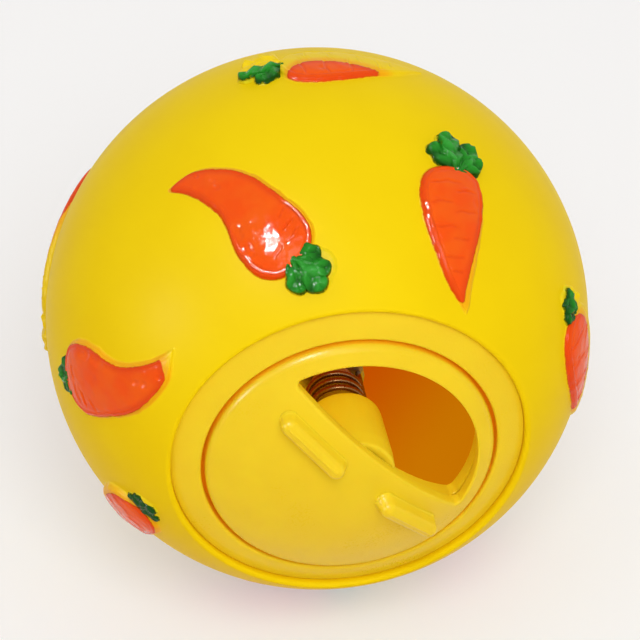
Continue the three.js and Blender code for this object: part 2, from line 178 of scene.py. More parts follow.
STRAIGHT_ROOT = {
    "length": 20.8,
    "half_widths": [
        (0, 0), (0.02, 0.25), (0.05, 0.55), (0.133, 1.3), (0.257, 2.3), (0.348, 2.9),
        (0.396, 3.2), (0.529, 4.0), (0.65, 4.55), (0.75, 4.75), (1, 4.75),
    ],
    "bow": [
        (0, 0), (0.05, 0.15), (0.133, 0.72), (0.257, 1.13), (0.396, 1.22), (0.529, 1.2),
        (0.695, 0.95), (0.838, 0.6), (1, 0.2),
    ],
    "shoulder": 0.75,
    "squareness": 2.7,
    "grooves": [
        (7.6, -1.4, 2.6), (6.2, 1.6, 1.6), (4.6, -2.2, 1.8), (3.2, 1.4, 1.9), (1.1, -1.9, 2.2),
        (-0.6, 0.4, 1.4), (-3.1, -1.0, 1.9), (-5.0, -0.4, 1.0),
    ],
    "dents": [
        (2.2, 4.6, 0.4, 0.1), (2.5, 2.2, 0.35, 0.1), (-3.4, 5.2, 0.3, 0.08),
    ],
}

# Leaflets as (degrees from the heading towards its right, reach, width, height), from a stalk at
# (to the right, ahead) of the middle of the root, and the low pad that they stand on as (to the
# right, ahead, radius).
SLIM_TUFT = {
    "stalk": (0.5, 9.7),
    "leaflets": [
        (-42, 4.3, 2.8, 1.0),
        (-14, 5.8, 3.2, 1.2),
        (12, 6.4, 3.4, 1.3),
        (40, 5.2, 3.0, 1.1),
    ],
    "pad": (-0.1, 13.1, 3.2),
}
BROAD_TUFT = {
    "stalk": (0.8, 9.4),
    "leaflets": [
        (-36, 5.5, 2.7, 1.1),
        (0, 6.5, 3.6, 1.35),
        (38, 6.1, 3.0, 1.15),
        (66, 4.9, 2.7, 1.25),
    ],
    "pad": (1.2, 12.5, 2.9),
}
SHORT_TUFT = {
    "stalk": (0.2, 9.9),
    "leaflets": [
        (-56, 3.0, 2.0, 0.8),
        (-20, 3.8, 2.4, 0.95),
        (16, 4.3, 2.5, 1.0),
        (54, 3.3, 2.1, 0.85),
    ],
    "pad": (0.3, 12.0, 2.4),
}
LOW_TUFT = {
    "stalk": (0.2, 9.9),
    "leaflets": [
        (-60, 3.0, 2.0, 0.5),
        (-22, 3.5, 2.4, 0.55),
        (18, 3.8, 2.5, 0.6),
        (58, 3.2, 2.1, 0.5),
    ],
    "pad": (0.3, 11.6, 2.2),
}

# Each carrot: its root, its tuft, the middle of the root as degrees from the dial's axis and degrees
# round it from +X towards +Z, the way that its leaves point as degrees from straight back towards a
# growing angle round the axis, the bare strips in the root's paint, and where the leaves' paint ends.
# The strips lie along the left edge near the crown and near the tip, along the right edge near the
# crown and near the tip, and at the tip, in millimetres. The leaves' paint ends as (degrees from the
# heading towards its right, millimetres that way from the middle of the root).
WHOLE = (0, 99)
CARROTS = [
    (BENT_ROOT, SLIM_TUFT, 66.6, 113.8, -141.7, (0.62, 0.62, 0.0, 0.0, 0.35), WHOLE),
    (STRAIGHT_ROOT, BROAD_TUFT, 60.4, 58.6, 15, (0.0, 0.0, 0.2, 1.2, 1.3), WHOLE),
    (BENT_ROOT, SHORT_TUFT, 61, 160.2, 51, (0.0, 0.55, 0.6, 0.55, 2.2), (0, 12.9)),
    (STRAIGHT_ROOT, LOW_TUFT, 65.1, -146.3, -142.6, (1.3, 1.0, 0.5, 1.0, 0.6), WHOLE),
    (STRAIGHT_ROOT, SHORT_TUFT, 66.2, -0.4, 96.5, (0.0, 0.0, 2.6, 4.6, 1.5), (90, 1.1)),
    (BENT_ROOT, SLIM_TUFT, 72.2, -108, 109.3, (0.3, 0.3, 0.3, 0.3, 1.0), WHOLE),
    (STRAIGHT_ROOT, BROAD_TUFT, 69.9, -63.5, 20.6, (0.1, 0.1, 0.5, 0.8, 0.8), WHOLE),
    (STRAIGHT_ROOT, BROAD_TUFT, 108.7, 79.3, 95, (-0.1, 0.1, 5.6, 6.2, 5.6), (90, 0.6)),
    (BENT_ROOT, SLIM_TUFT, 118.3, 172.9, 130, (3.6, -0.3, 0.4, 0.4, 0.5), (-90, -1.2)),
    (BENT_ROOT, SLIM_TUFT, 122.9, 10.4, -40.4, (0.1, 0.1, 0.7, 0.5, 0.9), WHOLE),
    (STRAIGHT_ROOT, BROAD_TUFT, 114, -52, 72, (0.4, 0.4, 0.2, 0.6, 0.7), WHOLE),
    (STRAIGHT_ROOT, BROAD_TUFT, 116, -128, -66, (0.0, 0.0, 0.5, 1.0, 1.2), WHOLE),
    (BENT_ROOT, SLIM_TUFT, 153.9, 113.9, 66.7, (0.2, 0.2, 0.6, 0.4, 0.9), WHOLE),
    (STRAIGHT_ROOT, BROAD_TUFT, 146, -18, -120, (0.3, 0.3, 0.3, 0.8, 0.9), WHOLE),
    (BENT_ROOT, SLIM_TUFT, 151, -150, 215, (0.5, 0.5, 0.1, 0.1, 0.6), WHOLE),
]


def length(name, description, default):
    """A length property with its default in millimetres."""
    return bpy.props.FloatProperty(
        name=name, description=description, default=default * MM, unit="LENGTH", precision=5
    )


def colour(name, description, default):
    """A colour property."""
    return bpy.props.FloatVectorProperty(
        name=name, description=description, default=default, subtype="COLOR", min=0, max=1
    )


class TreatBallBall(bpy.types.PropertyGroup):
    """Sizes and colours of the vinyl ball"""

    radius: length("Radius", "Outer radius of the ball", 37.5)
    wall: length("Wall", "Thickness of the vinyl", 2.5)
    mouth: length("Mouth", "Radius of the open mouth", 24.3)
    lip: length("Lip", "Rounding of the vinyl round the mouth", 0.5)
    tint: colour("Colour", "Colour of the vinyl", (0.87, 0.665, 0.003))
    inside: colour("Inside", "Colour of the wall's glow where it is seen", (1.0, 0.36, 0.0))
    inside_deep: colour("Inside, deep", "Colour of the glow away from the light", (0.95, 0.1, 0.0))
    glow: colour("Glow", "Colour of the light that the wall lets in", (1.0, 0.88, 0.02))


class TreatBallCarrots(bpy.types.PropertyGroup):
    """Sizes and colours of the raised carrots"""

    foot: length("Foot", "Height of the steep edge round a root", 0.42)
    rise: length("Rise", "Height of a root's dome above that edge", 0.8)
    bead: length("Bead", "Height of the fine bead along a root's edge", 0.1)
    pad: length("Pad", "Height of the low pad under the leaves", 0.3)
    root_tint: colour("Roots", "Colour of the roots' paint", (0.87, 0.085, 0.001))
    spray_tint: colour("Spray", "Colour of the thin spray round the paint", (0.88, 0.34, 0.002))
    leaf_tint: colour("Leaves", "Colour of the leaves' paint", (0.015, 0.25, 0.015))


class TreatBallInsert(bpy.types.PropertyGroup):
    """Sizes and colour of the insert in the ball's mouth"""

    face: length("Face", "Radius of the sphere that the visible faces lie on", 35.4)
    ring: length("Ring", "Outer radius of the visible ring", 24.26)
    ring_rise: length("Ring rise", "Height of the ring's outer edge above the face's sphere", 1.2)
    seat: length("Seat", "Radius of the seat round the dial", 20.3)
    web_face: length("Web face", "Radius of the sphere of the web's front", 33.0)
    web_back: length("Web back", "Radius of the sphere of the web's back", 31.0)
    flange: length("Flange", "Outer radius of the flange behind the vinyl", 27.0)
    flange_face: length("Flange face", "Radius of the sphere of the flange's front", 34.7)
    flange_wall: length("Flange wall", "Thickness of the flange", 1.6)
    hub: length("Hub", "Radius of the hub", 5.7)
    hub_taper: length("Hub taper", "How much slimmer the hub is at its inner end", 0.3)
    hub_end: length("Hub end", "Height of the hub's inner end above the ball's middle", 21.3)
    hub_bore: length("Hub bore", "Radius of the bore through the hub", 3.2)
    door: length("Door", "Radius of the round edge of the web's opening", 17.8)
    door_edge: length("Door edge", "From the axis to the straight edge of the web's opening", 3.3)
    door_turn: bpy.props.FloatProperty(
        name="Door turn",
        description="Way that the opening in the web faces, from +X towards +Z",
        default=math.radians(43.5),
        subtype="ANGLE",
    )
    tint: colour("Colour", "Colour of the hard plastic", (0.87, 0.665, 0.02))


class TreatBallDial(bpy.types.PropertyGroup):
    """Sizes of the dial"""

    radius: length("Radius", "Radius of the dial", 19.8)
    wall: length("Wall", "Thickness of the dial", 1.8)
    rim: length("Rim", "Rounding of the dial's rim", 0.7)
    door: length("Door", "Radius of the round edge of the opening", 17.3)
    door_edge: length("Door edge", "From the axis to the straight edge of the opening", 4.6)
    door_corner: length("Door corner", "Rounding of the opening's corners", 0.7)
    shaft: length("Shaft", "Radius of the shaft", 2.9)
    shaft_end: length("Shaft end", "Height of the shaft's inner end above the ball's middle", 13.2)
    grip_length: length("Grip length", "Length of a finger grip", 11.7)
    grip_width: length("Grip width", "Width of a finger grip", 2.7)
    grip_rise: length("Grip rise", "Height of a finger grip above the dial", 2.5)
    grip_middle: length("Grip middle", "From the axis to the middle of a grip", 9.45)
    grip_offset: length("Grip offset", "From the axis towards the opening", 0.7)
    door_turn: bpy.props.FloatProperty(
        name="Door turn",
        description="Way that the opening in the dial faces, from +X towards +Z",
        default=math.radians(42),
        subtype="ANGLE",
    )


class TreatBallSpring(bpy.types.PropertyGroup):
    """Sizes and colours of the spring and its fasteners"""

    wire: length("Wire", "Diameter of the wire", 0.8)
    radius: length("Radius", "Radius of the curls along the wire's middle", 3.7)
    top: length("Top", "Height of the spring's outer end above the ball's middle", 21.0)
    bottom: length("Bottom", "Height of the spring's inner end above the ball's middle", 13.2)
    bend: length("Bend", "Radius of the bend at each end of the spring", 0.9)
    curls: bpy.props.IntProperty(
        name="Curls", description="Number of curls", default=3, min=1, max=24
    )
    # the wire is steel; its brown colour is painted reflection of the orange inside and painted shade
    tint: colour("Wire colour", "Colour of the wire", (0.34, 0.18, 0.08))
    plate_tint: colour("Plating", "Colour of the washer and the screw", (0.66, 0.65, 0.62))


class TreatBallStage(bpy.types.PropertyGroup):
    """Floor, light and camera"""

    floor_tint: colour("Floor", "Colour of the floor and the backdrop", (0.54, 0.57, 0.61))
    bounce_tint: colour("Bounce", "Colour of the light that the floor sends up", (0.78, 0.66, 0.45))
    sky_tint: colour("Sky colour", "Colour of the even light all round", (1.0, 0.9, 0.8))
    lift: bpy.props.FloatProperty(
        name="Lift", description="How much the floor is paled towards white", default=0.4, min=0
    )
    sky: bpy.props.FloatProperty(
        name="Sky", description="Strength of the even light all round", default=0.72, min=0
    )
    key: bpy.props.FloatProperty(
        name="Key lamp", description="Power of the large lamp in front", default=3.9, unit="POWER"
    )
    glint: bpy.props.FloatProperty(
        name="Glint lamps", description="Power of each small lamp that only makes glints",
        default=8.5, unit="POWER",
    )
    azimuth: bpy.props.FloatProperty(
        name="Azimuth", description="Way that the camera looks", default=math.radians(-8.85),
        subtype="ANGLE",
    )
    elevation: bpy.props.FloatProperty(
        name="Elevation", description="Height of the camera", default=math.radians(40.6),
        subtype="ANGLE",
    )
    distance: length("Distance", "From the camera to the ball's middle", 1000)
    lens: bpy.props.FloatProperty(
        name="Lens", description="Focal length", default=406.5, unit="CAMERA"
    )


def eased(low, high, value):
    """0 below one value and 1 above another, with a smooth change between."""
    t = np.clip((value - low) / (high - low), 0, 1)
    return t * t * (3 - 2 * t)


def points_of(parts):
    """The points of one or more (points, faces)."""
    return np.concatenate([np.asarray(part[0], float) for part in parts])


def seam_depth(parts, face, dial_radius):
    """How far each point of the hard plastic lies down in the seam round the dial, from 0 to 1: the
    mask of its painted shade and painted glow.
    """
    shallow, deep, inset, fade = 0.3, 0.9, 0.2, 0.4
    points = points_of(parts)
    down = eased(shallow, deep, face - np.linalg.norm(points, axis=1))
    reach = dial_radius - inset
    return down * eased(reach - fade, reach, np.hypot(points[:, 0], points[:, 2]))


def shaft_shade(parts, shaft, top):
    """1 on the shaft inside the spring, else 0."""
    slack, into_hub = 0.05, 1.2
    points = points_of(parts)
    inner = np.hypot(points[:, 0], points[:, 2]) < shaft + slack
    return np.where(inner & (-points[:, 1] < top + into_hub), 1.0, 0.0)


def new_piece(name, parts, material, body, nodes, attributes=None):
    """A smooth mesh of one or more (points in millimetres, faces) that rides on a CAD body."""
    faces, start = [], 0
    for part_points, part_faces in parts:
        faces += [tuple(start + i for i in face) for face in part_faces]
        start += len(part_points)
    mesh = bpy.data.meshes.new(name)
    mesh.from_pydata((points_of(parts) * MM).tolist(), [], faces)
    mesh.polygons.foreach_set("use_smooth", [True] * len(mesh.polygons))
    for label, values in (attributes or {}).items():
        layer = mesh.attributes.new(label, "FLOAT", "POINT")
        layer.data.foreach_set("value", np.asarray(values, np.float32))
    mesh.materials.append(material)
    whole = bmesh.new()
    whole.from_mesh(mesh)
    bmesh.ops.remove_doubles(whole, verts=whole.verts, dist=MERGE_DISTANCE)
    bmesh.ops.recalc_face_normals(whole, faces=whole.faces)
    whole.to_mesh(mesh)
    whole.free()
    mesh.validate()
    piece = bpy.data.objects.new(name, mesh)
    bpy.context.scene.collection.objects.link(piece)
    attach(piece, body)
    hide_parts(*nodes)
    return piece


def sphere_height(radius, distance):
    """Height of a sphere about the ball's middle at a distance from the dial's axis."""
    return np.sqrt(radius * radius - distance * distance)


def sphere_arc(radius, start, end, steps):
    """[distance from the axis, height] points on a sphere between two distances from the axis."""
    angles = np.linspace(math.asin(start / radius), math.asin(end / radius), steps + 1)
    return [(radius * math.sin(a), radius * math.cos(a)) for a in angles]


def rounded(before, corner, after, radius, steps=5):
    """Points that round the corner of a profile."""
    corner = Vector(corner)
    a = (Vector(before) - corner).normalized()
    b = (Vector(after) - corner).normalized()
    half = a.angle(b) / 2
    reach = radius / math.tan(half)
    middle = corner + (a + b).normalized() * (radius / math.sin(half))
    start, end = corner + a * reach - middle, corner + b * reach - middle
    sweep = start.angle_signed(end)
    points = []
    for i in range(steps + 1):
        angle = -sweep * i / steps
        x = start.x * math.cos(angle) - start.y * math.sin(angle)
        y = start.x * math.sin(angle) + start.y * math.cos(angle)
        points.append((middle.x + x, middle.y + y))
    return points


def profile_of(corners):
    """A profile from (distance, height, rounding) corners, each rounded by its own radius."""
    points = []
    for i, (x, y, radius) in enumerate(corners):
        if radius and 0 < i < len(corners) - 1:
            points += rounded(corners[i - 1][:2], (x, y), corners[i + 1][:2], radius)
        else:
            points.append((x, y))
    return points


def turned(profile, steps=ROUND_STEPS):
    """A body turned about the dial's axis. A profile that ends where it starts makes a ring."""
    closed = math.dist(profile[0], profile[-1]) < 1e-6
    rows = profile[:-1] if closed else profile
    angles = np.linspace(0, 2 * math.pi, steps, endpoint=False)
    points, starts = [], []
    for distance, height in rows:
        starts.append((len(points), distance < 1e-6))
        for angle in angles[: 1 if distance < 1e-6 else steps]:
            points.append((distance * math.cos(angle), -height, distance * math.sin(angle)))
    faces = []
    pairs = list(zip(starts, starts[1:] + starts[:1]))[: None if closed else -1]
    for (a, a_pole), (b, b_pole) in pairs:
        for i in range(steps):
            j = (i + 1) % steps
            if a_pole:
                faces.append((a, b + j, b + i))
            elif b_pole:
                faces.append((a + i, a + j, b))
            else:
                faces.append((a + i, a + j, b + j, b + i))
    return points, faces


def door_contour(radius, edge, corner, turn):
    """Points round a D-shaped opening, and the way from each into the plate."""
    reach = radius - corner
    side = math.sqrt(reach**2 - (edge + corner) ** 2)
    limit = math.atan2(side, edge + corner)
    arc_share = 2 * limit * radius
    chord_share = 2 * side
    corner_share = corner * (math.pi - limit)
    total = arc_share + chord_share + 2 * corner_share
    points, ways = [], []
    for i in range(CONTOUR_STEPS):
        at = total * i / CONTOUR_STEPS
        if at < arc_share:
            angle = at / radius - limit
            way = (math.cos(angle), math.sin(angle))
            point = (radius * way[0], radius * way[1])
        elif at < arc_share + corner_share:
            angle = limit + (at - arc_share) / corner
            way = (math.cos(angle), math.sin(angle))
            point = (edge + corner + corner * way[0], side + corner * way[1])
        elif at < arc_share + corner_share + chord_share:
            way = (-1.0, 0.0)
            point = (edge, side - (at - arc_share - corner_share))
        else:
            angle = math.pi + (at - arc_share - corner_share - chord_share) / corner
            way = (math.cos(angle), math.sin(angle))
            point = (edge + corner + corner * way[0], -side + corner * way[1])
        points.append(point)
        ways.append(way)
    spin = np.array([[math.cos(turn), -math.sin(turn)], [math.sin(turn), math.cos(turn)]])
    return np.array(points) @ spin.T, np.array(ways) @ spin.T


def doored_plate(front, back, rim_radius, rim_round, door_round, contour):
    """A round plate between two spheres, with a D-shaped opening and rounded edges."""
    hole, way = contour
    middle = hole.mean(0)
    ray = hole - middle
    ray /= np.linalg.norm(ray, axis=1)[:, None]
    along = ray @ middle
    reach = -along + np.sqrt(along**2 + rim_radius**2 - middle @ middle)
    rim = middle + ray * reach[:, None]
    rim_way = -rim / np.linalg.norm(rim, axis=1)[:, None]
    turn = np.linspace(0, math.pi / 2, EDGE_STEPS)
    small = min(rim_round, door_round, 0.3)  # rounding of the edges at the back
    layers = []

    def layer(flat, sphere, rise):
        height = sphere_height(sphere, np.linalg.norm(flat, axis=1)) + rise
        layers.append(np.column_stack([flat[:, 0], -height, flat[:, 1]]))

    def edge(side, inward, radius, sphere, rise, angles):
        for a in angles:
            flat = side + inward * radius * (1 - math.sin(a))
            layer(flat, sphere, rise * radius * (1 - math.cos(a)))

    def face(start, end, sphere):
        for share in np.linspace(0, 1, PLATE_ROWS)[1:-1]:
            layer(start + (end - start) * share, sphere, 0)

    edge(hole, way, door_round, front, -1, turn[::-1])
    face(hole + way * door_round, rim + rim_way * rim_round, front)
    edge(rim, rim_way, rim_round, front, -1, turn)
    edge(rim, rim_way, small, back, 1, turn[::-1])
    face(rim + rim_way * small, hole + way * small, back)
    edge(hole, way, small, back, 1, turn)
    return wrapped(layers)


def wrapped(layers):
    """Faces between closed rows of points, with the last row joined to the first."""
    count, steps = len(layers), len(layers[0])
    faces = []
    for row in range(count):
        a, b = row * steps, (row + 1) % count * steps
        for i in range(steps):
            j = (i + 1) % steps
            faces.append((a + i, a + j, b + j, b + i))
    return np.concatenate(layers), faces


def capped(layers):
    """Faces between closed rows of points, with a fan over the first and the last row."""
    points, faces = wrapped(layers)
    steps = len(layers[0])
    faces = faces[: (len(layers) - 1) * steps]
    last = len(points) - steps
    for i in range(1, steps - 1):
        faces.append((0, i + 1, i))
        faces.append((last, last + i, last + i + 1))
    return points, faces


def grip_bar(dial, face, side):
    """A finger grip with drafted sides, a rounded top and rounded ends."""
    half = dial.grip_width / MM / 2
    spine = dial.grip_length / MM / 2 - half
    rise = dial.grip_rise / MM
    angles = np.linspace(0, 2 * math.pi, GRIP_STEPS, endpoint=False)
    root, fillet, shoulder, draft, crown = 1.0, 0.16, 1.1, 0.1, 0.12
    rows = [
        (half + fillet, -root),
        (half + fillet, -0.04),
        (half + 0.06, 0.05),
        (half, 0.2),
    ]
    for a in np.linspace(0, math.pi / 2, BEND_STEPS):
        reach = half - draft - shoulder * (1 - math.cos(a))
        rows.append((reach, rise - crown - shoulder * (1 - math.sin(a))))
    rows.append((0.5 * (half - draft - shoulder), rise - 0.25 * crown))
    turn = dial.door_turn
    to_door = Vector((math.cos(turn), 0, math.sin(turn)))
    edge_way = Vector((math.sin(turn), 0, -math.cos(turn))) * side
    middle, offset = dial.grip_middle / MM, dial.grip_offset / MM
    foot = edge_way * middle + to_door * offset
    foot.y = -sphere_height(face, math.hypot(middle, offset))
    up = foot.normalized()
    lengthwise = (edge_way - up * edge_way.dot(up)).normalized()
    crosswise = up.cross(lengthwise)
    layers = []
    for reach, height in rows:
        x = np.sign(np.cos(angles)) * spine + reach * np.cos(angles)
        y = reach * np.sin(angles)
        flat = np.outer(x, lengthwise) + np.outer(y, crosswise)
        layers.append(np.array(foot) + flat + np.array(up) * height)
    x = np.sign(np.cos(angles)) * spine
    layers.append(np.array(foot) + np.outer(x, lengthwise) + np.array(up) * rise)
    return capped(layers)


def spring_line(spring):
    """Points along the wire's middle: end, bend, curls, bend, end."""
    radius, bend, wire = spring.radius / MM, spring.bend / MM, spring.wire / MM
    top, bottom = spring.top / MM, spring.bottom / MM
    rise = bend + wire
    swing = bend / radius
    turns = spring.curls * 2 * math.pi
    fall = top - bottom - 2 * rise
    stops = [(-swing, top)]
    for a in np.linspace(0, math.pi / 2, BEND_STEPS)[:-1]:
        stops.append(((1 - math.cos(a)) * swing - swing, top - wire - bend * math.sin(a)))
    for share in np.linspace(0, 1, spring.curls * CURL_STEPS + 1):
        stops.append((turns * share, top - rise - fall * share))
    for a in np.linspace(math.pi / 2, 0, BEND_STEPS)[1:]:
        stops.append((turns + swing * math.cos(a), bottom + wire + bend * math.sin(a)))
    stops.append((turns + swing, bottom))
    line = [(radius * math.cos(a), -h, radius * math.sin(a)) for a, h in stops]
    return np.array(line)


def tube(line, radius):
    """A tube of one thickness along a line of points that winds round the dial's axis."""
    ways = np.gradient(line, axis=0)
    ways /= np.linalg.norm(ways, axis=1)[:, None]
    out = line * (1, 0, 1)
    out /= np.linalg.norm(out, axis=1)[:, None]
    across = np.cross(ways, out)
    across /= np.linalg.norm(across, axis=1)[:, None]
    out = np.cross(across, ways)
    angles = np.linspace(0, 2 * math.pi, WIRE_SIDES, endpoint=False)
    layers = []
    for point, o, c in zip(line, out, across):
        layers.append(point + radius * (np.outer(np.cos(angles), o) + np.outer(np.sin(angles), c)))
    return capped(layers)


def smooth_chain(chain, shares):
    """Smooth curve through a chain of (share, value) points, read at some shares."""
    at = np.array([c[0] for c in chain], float)
    value = np.array([c[1] for c in chain], float)
    slope = np.gradient(value, at)
    k = np.clip(np.searchsorted(at, shares) - 1, 0, len(at) - 2)
    gap = at[k + 1] - at[k]
    t = np.clip((shares - at[k]) / gap, 0, 1)
    a = 2 * t**3 - 3 * t**2 + 1
    b = t**3 - 2 * t**2 + t
    c = -2 * t**3 + 3 * t**2
    d = t**3 - t**2
    return a * value[k] + b * gap * slope[k] + c * value[k + 1] + d * gap * slope[k + 1]


def root_half(root, share):
    """Half width of a root at shares of its length."""
    half = np.maximum(smooth_chain(root["half_widths"], share), 0)
    crown = np.clip((share - root["shoulder"]) / (1 - root["shoulder"]), 0, 1)
    return half * (1 - crown ** root["squareness"]) ** (1 / root["squareness"])


def ringed(loop, spine, rows, skirt):
    """Rings of flat points from a skirt round a closed outline in to its spine.

    Gives the points, their depth inside the outline, their share of the way to the spine, the
    number of rings, and the faces."""
    ways = np.roll(loop, -1, 0) - np.roll(loop, 1, 0)
    ways /= np.maximum(np.linalg.norm(ways, axis=1), 1e-9)[:, None]
    outward = np.column_stack([ways[:, 1], -ways[:, 0]])
    area = (loop[:, 0] * np.roll(loop[:, 1], -1) - np.roll(loop[:, 0], -1) * loop[:, 1]).sum()
    outward *= 1 if area > 0 else -1
    reach = np.linalg.norm(spine - loop, axis=1)
    flat, depth, share = [], [], []
    for gap in skirt:
        flat.append(loop + outward * gap)
        depth.append(np.full(len(loop), -gap))
        share.append(np.zeros(len(loop)))
    for t in np.linspace(0, 1, rows):
        g = t**RING_CROWDING
        flat.append(loop + (spine - loop) * g)
        depth.append(reach * g)
        share.append(np.full(len(loop), g))
    faces = wrapped(flat)[1][: (len(flat) - 1) * len(loop)]
    return np.concatenate(flat), np.concatenate(depth), np.concatenate(share), len(flat), faces


def least(first, second, firmness=5):
    """The smaller of two values, with a rounded change from one to the other."""
    return -np.logaddexp(-firmness * first, -firmness * second) / firmness


def ripple(flat, seed):
    """Slow unevenness, the same each run."""
    x, y = flat[:, 0], flat[:, 1]
    waves = np.sin(1.9 * x + seed) * np.sin(1.3 * y + 2.1 * seed)
    return waves + 0.6 * np.sin(3.1 * y - 1.7 * x + 3.3 * seed)


def there_and_back(first, second):
    """A closed row along one side and back along the other."""
    return np.concatenate([first, second[-2:0:-1]])


def root_outline(root, seed):
    """A root's outline, its spine, and its width there as a share of the width at its shoulder."""
    share = (1 - np.cos(np.linspace(0, math.pi, ROOT_STEPS + 1))) / 2
    size = root["length"]
    half, bow = root_half(root, share), smooth_chain(root["bow"], share)
    wobble = 0.012 * np.sin(41 * share + seed) + 0.008 * np.sin(67 * share + 2 * seed)
    half = half * (1 + wobble * eased(0, 0.1, share) * eased(1, 0.9, share))
    ahead = share * size - size / 2
    left = np.column_stack([-bow - half, ahead])
    right = np.column_stack([-bow + half, ahead])
    held = np.clip(share, *ROOT_SPINE)
    middle = np.column_stack([-smooth_chain(root["bow"], held), held * size - size / 2])
    crest = root_half(root, held) / root_half(root, np.array([root["shoulder"]]))[0]
    return there_and_back(left, right), there_and_back(middle, middle), there_and_back(crest, crest)


def root_paint(root, bare, at, across, depth):
    """How far each point of a root lies inside its paint. On a bare strip it is less than 0."""
    left_crown, left_tip, right_crown, right_tip, tip = bare
    half = root_half(root, at)
    crownward = eased(*BARE_SHARES, at)
    left_bare = left_tip + (left_crown - left_tip) * crownward
    right_bare = right_tip + (right_crown - right_tip) * crownward
    left_paint = across + half - left_bare + PAINT_OVERLAP
    right_paint = half - across - right_bare + PAINT_OVERLAP
    paint = np.minimum(least(left_paint, right_paint), depth + PAINT_OVERRUN)
    return least(paint, at * root["length"] - tip)


def root_relief(carrots, root, bare, seed):
    """A root as flat points, heights, attributes, faces and the length of its outermost row."""
    loop, spine, crest = root_outline(root, seed)
    flat, depth, inward, rows, faces = ringed(loop, spine, ROOT_ROWS, ROOT_SKIRT)
    crest = np.tile(crest, rows)
    foot, rise, bead = carrots.foot / MM, carrots.rise / MM, carrots.bead / MM
    height = foot * eased(*ROOT_SLOPE, depth) * (0.4 + 0.6 * crest**0.5)
    height += rise * crest**0.8 * (1 - (1 - inward) ** 2) ** 0.5
    height += bead * np.exp(-(((depth - BEAD_INSET) / BEAD_WIDTH) ** 2)) * crest
    gutter = np.exp(-(((depth - GUTTER_INSET) / GUTTER_WIDTH) ** 2))
    height -= GUTTER_SHARE * bead * gutter * crest
    inner = eased(*DETAIL_SLOPE, depth)
    # mask of the painted shade in the grooves
    groove_shade = np.zeros(len(depth))
    at = np.clip(flat[:, 1] / root["length"] + 0.5, 0, 1)
    across = flat[:, 0] + smooth_chain(root["bow"], at)
    for ahead, middle_x, reach in root["grooves"]:
        bend = 0.05 * (across - middle_x) ** 2 + 0.08 * np.sin(2.6 * across + ahead)
        off = (flat[:, 1] - ahead + bend) / GROOVE_WIDTH
        fade = eased(1.15, 0.6, np.abs(across - middle_x) / reach)
        groove = inner * np.exp(-(off**2)) * fade
        ridge = inner * np.exp(-((off - GROOVE_RIDGE_OFFSET) ** 2)) * fade
        height += GROOVE_RIDGE * ridge - GROOVE_DEPTH * groove
        groove_shade += groove
    for x, y, reach, deep in root["dents"]:
        gone = np.hypot(flat[:, 0] - x, (flat[:, 1] - y) * 0.75) / reach
        height -= DENT_GAIN * deep * inner * np.exp(-(gone**4))
    height += UNEVENNESS * inner * ripple(flat, seed)
    paint = root_paint(root, bare, at, across, depth)
    spray = eased(-SPRAY_REACH, 0.3, paint) * eased(*SPRAY_SLOPE, depth)
    marks = {"root_paint": paint, "relief": height, "spray": spray, "groove_shade": groove_shade}
    return flat, height, marks, faces, len(loop)


def leaflet_relief(tuft, order, seed, paint_end):
    """A leaflet as flat points, heights, attributes, faces and the length of its outermost row."""
    turn, size, width, high = tuft["leaflets"][order]
    share = (1 - np.cos(np.linspace(0, math.pi, LEAFLET_STEPS + 1))) / 2
    crown = np.clip((share - LEAFLET_CROWN) / (1 - LEAFLET_CROWN), 0, 1)
    half = 0.5 * width * smooth_chain(LEAFLET_BLADE, share) * (1 - crown**2.2) ** 0.45
    half *= np.clip(share / 0.04, 0, 1) ** 0.5
    beat = 4.2 * math.pi * share + seed + order
    left = np.column_stack([-half * (1 + LOBE_SHARE * np.sin(beat)), share * size])
    right = np.column_stack([half * (1 + LOBE_SHARE * np.cos(beat)), share * size])
    held = np.clip(share, *LEAFLET_SPINE) * size
    middle = np.column_stack([np.zeros(len(held)), held])
    loop, spine = there_and_back(left, right), there_and_back(middle, middle)
    flat, depth, inward, _, faces = ringed(loop, spine, LEAFLET_ROWS, LEAFLET_SKIRT)
    u, v = flat[:, 0], flat[:, 1]
    dome = (1 - (1 - inward) ** 2) ** 0.5
    height = high * (0.65 * eased(*LEAFLET_SLOPE, depth) + 0.35 * dome)
    height *= 0.75 + 0.25 * eased(0, 0.4, v / size)
    fold = np.abs((((v - 0.8 * np.abs(u)) / FOLD_LENGTH + 0.35 * order) % 1.0) - 0.5) * 2
    height += FOLD_SHARE * high * (fold - 0.5) * eased(0.0, 0.35, depth)
    height -= RIB_SHARE * high * np.exp(-((u / RIB_WIDTH) ** 2)) * eased(0.12, 0.6, depth)
    tilt = 1 if (order + seed) % 2 else -1
    height += TILT_SHARE * high * tilt * np.sign(u) * (1 - np.exp(-np.abs(u)))
    height = np.where(depth <= -LEAFLET_SKIRT[0], SUNK_EDGE, height)
    angle = math.radians(turn)
    x = tuft["stalk"][0] + u * math.cos(angle) + v * math.sin(angle)
    y = tuft["stalk"][1] - u * math.sin(angle) + v * math.cos(angle)
    flat = np.column_stack([x, y])
    way = math.radians(paint_end[0])
    painted = paint_end[1] - flat @ (math.sin(way), math.cos(way))
    marks = {"leaf_paint": np.minimum(depth + LEAF_OVERRUN, painted), "relief": height}
    return flat, height, marks, faces, len(loop)


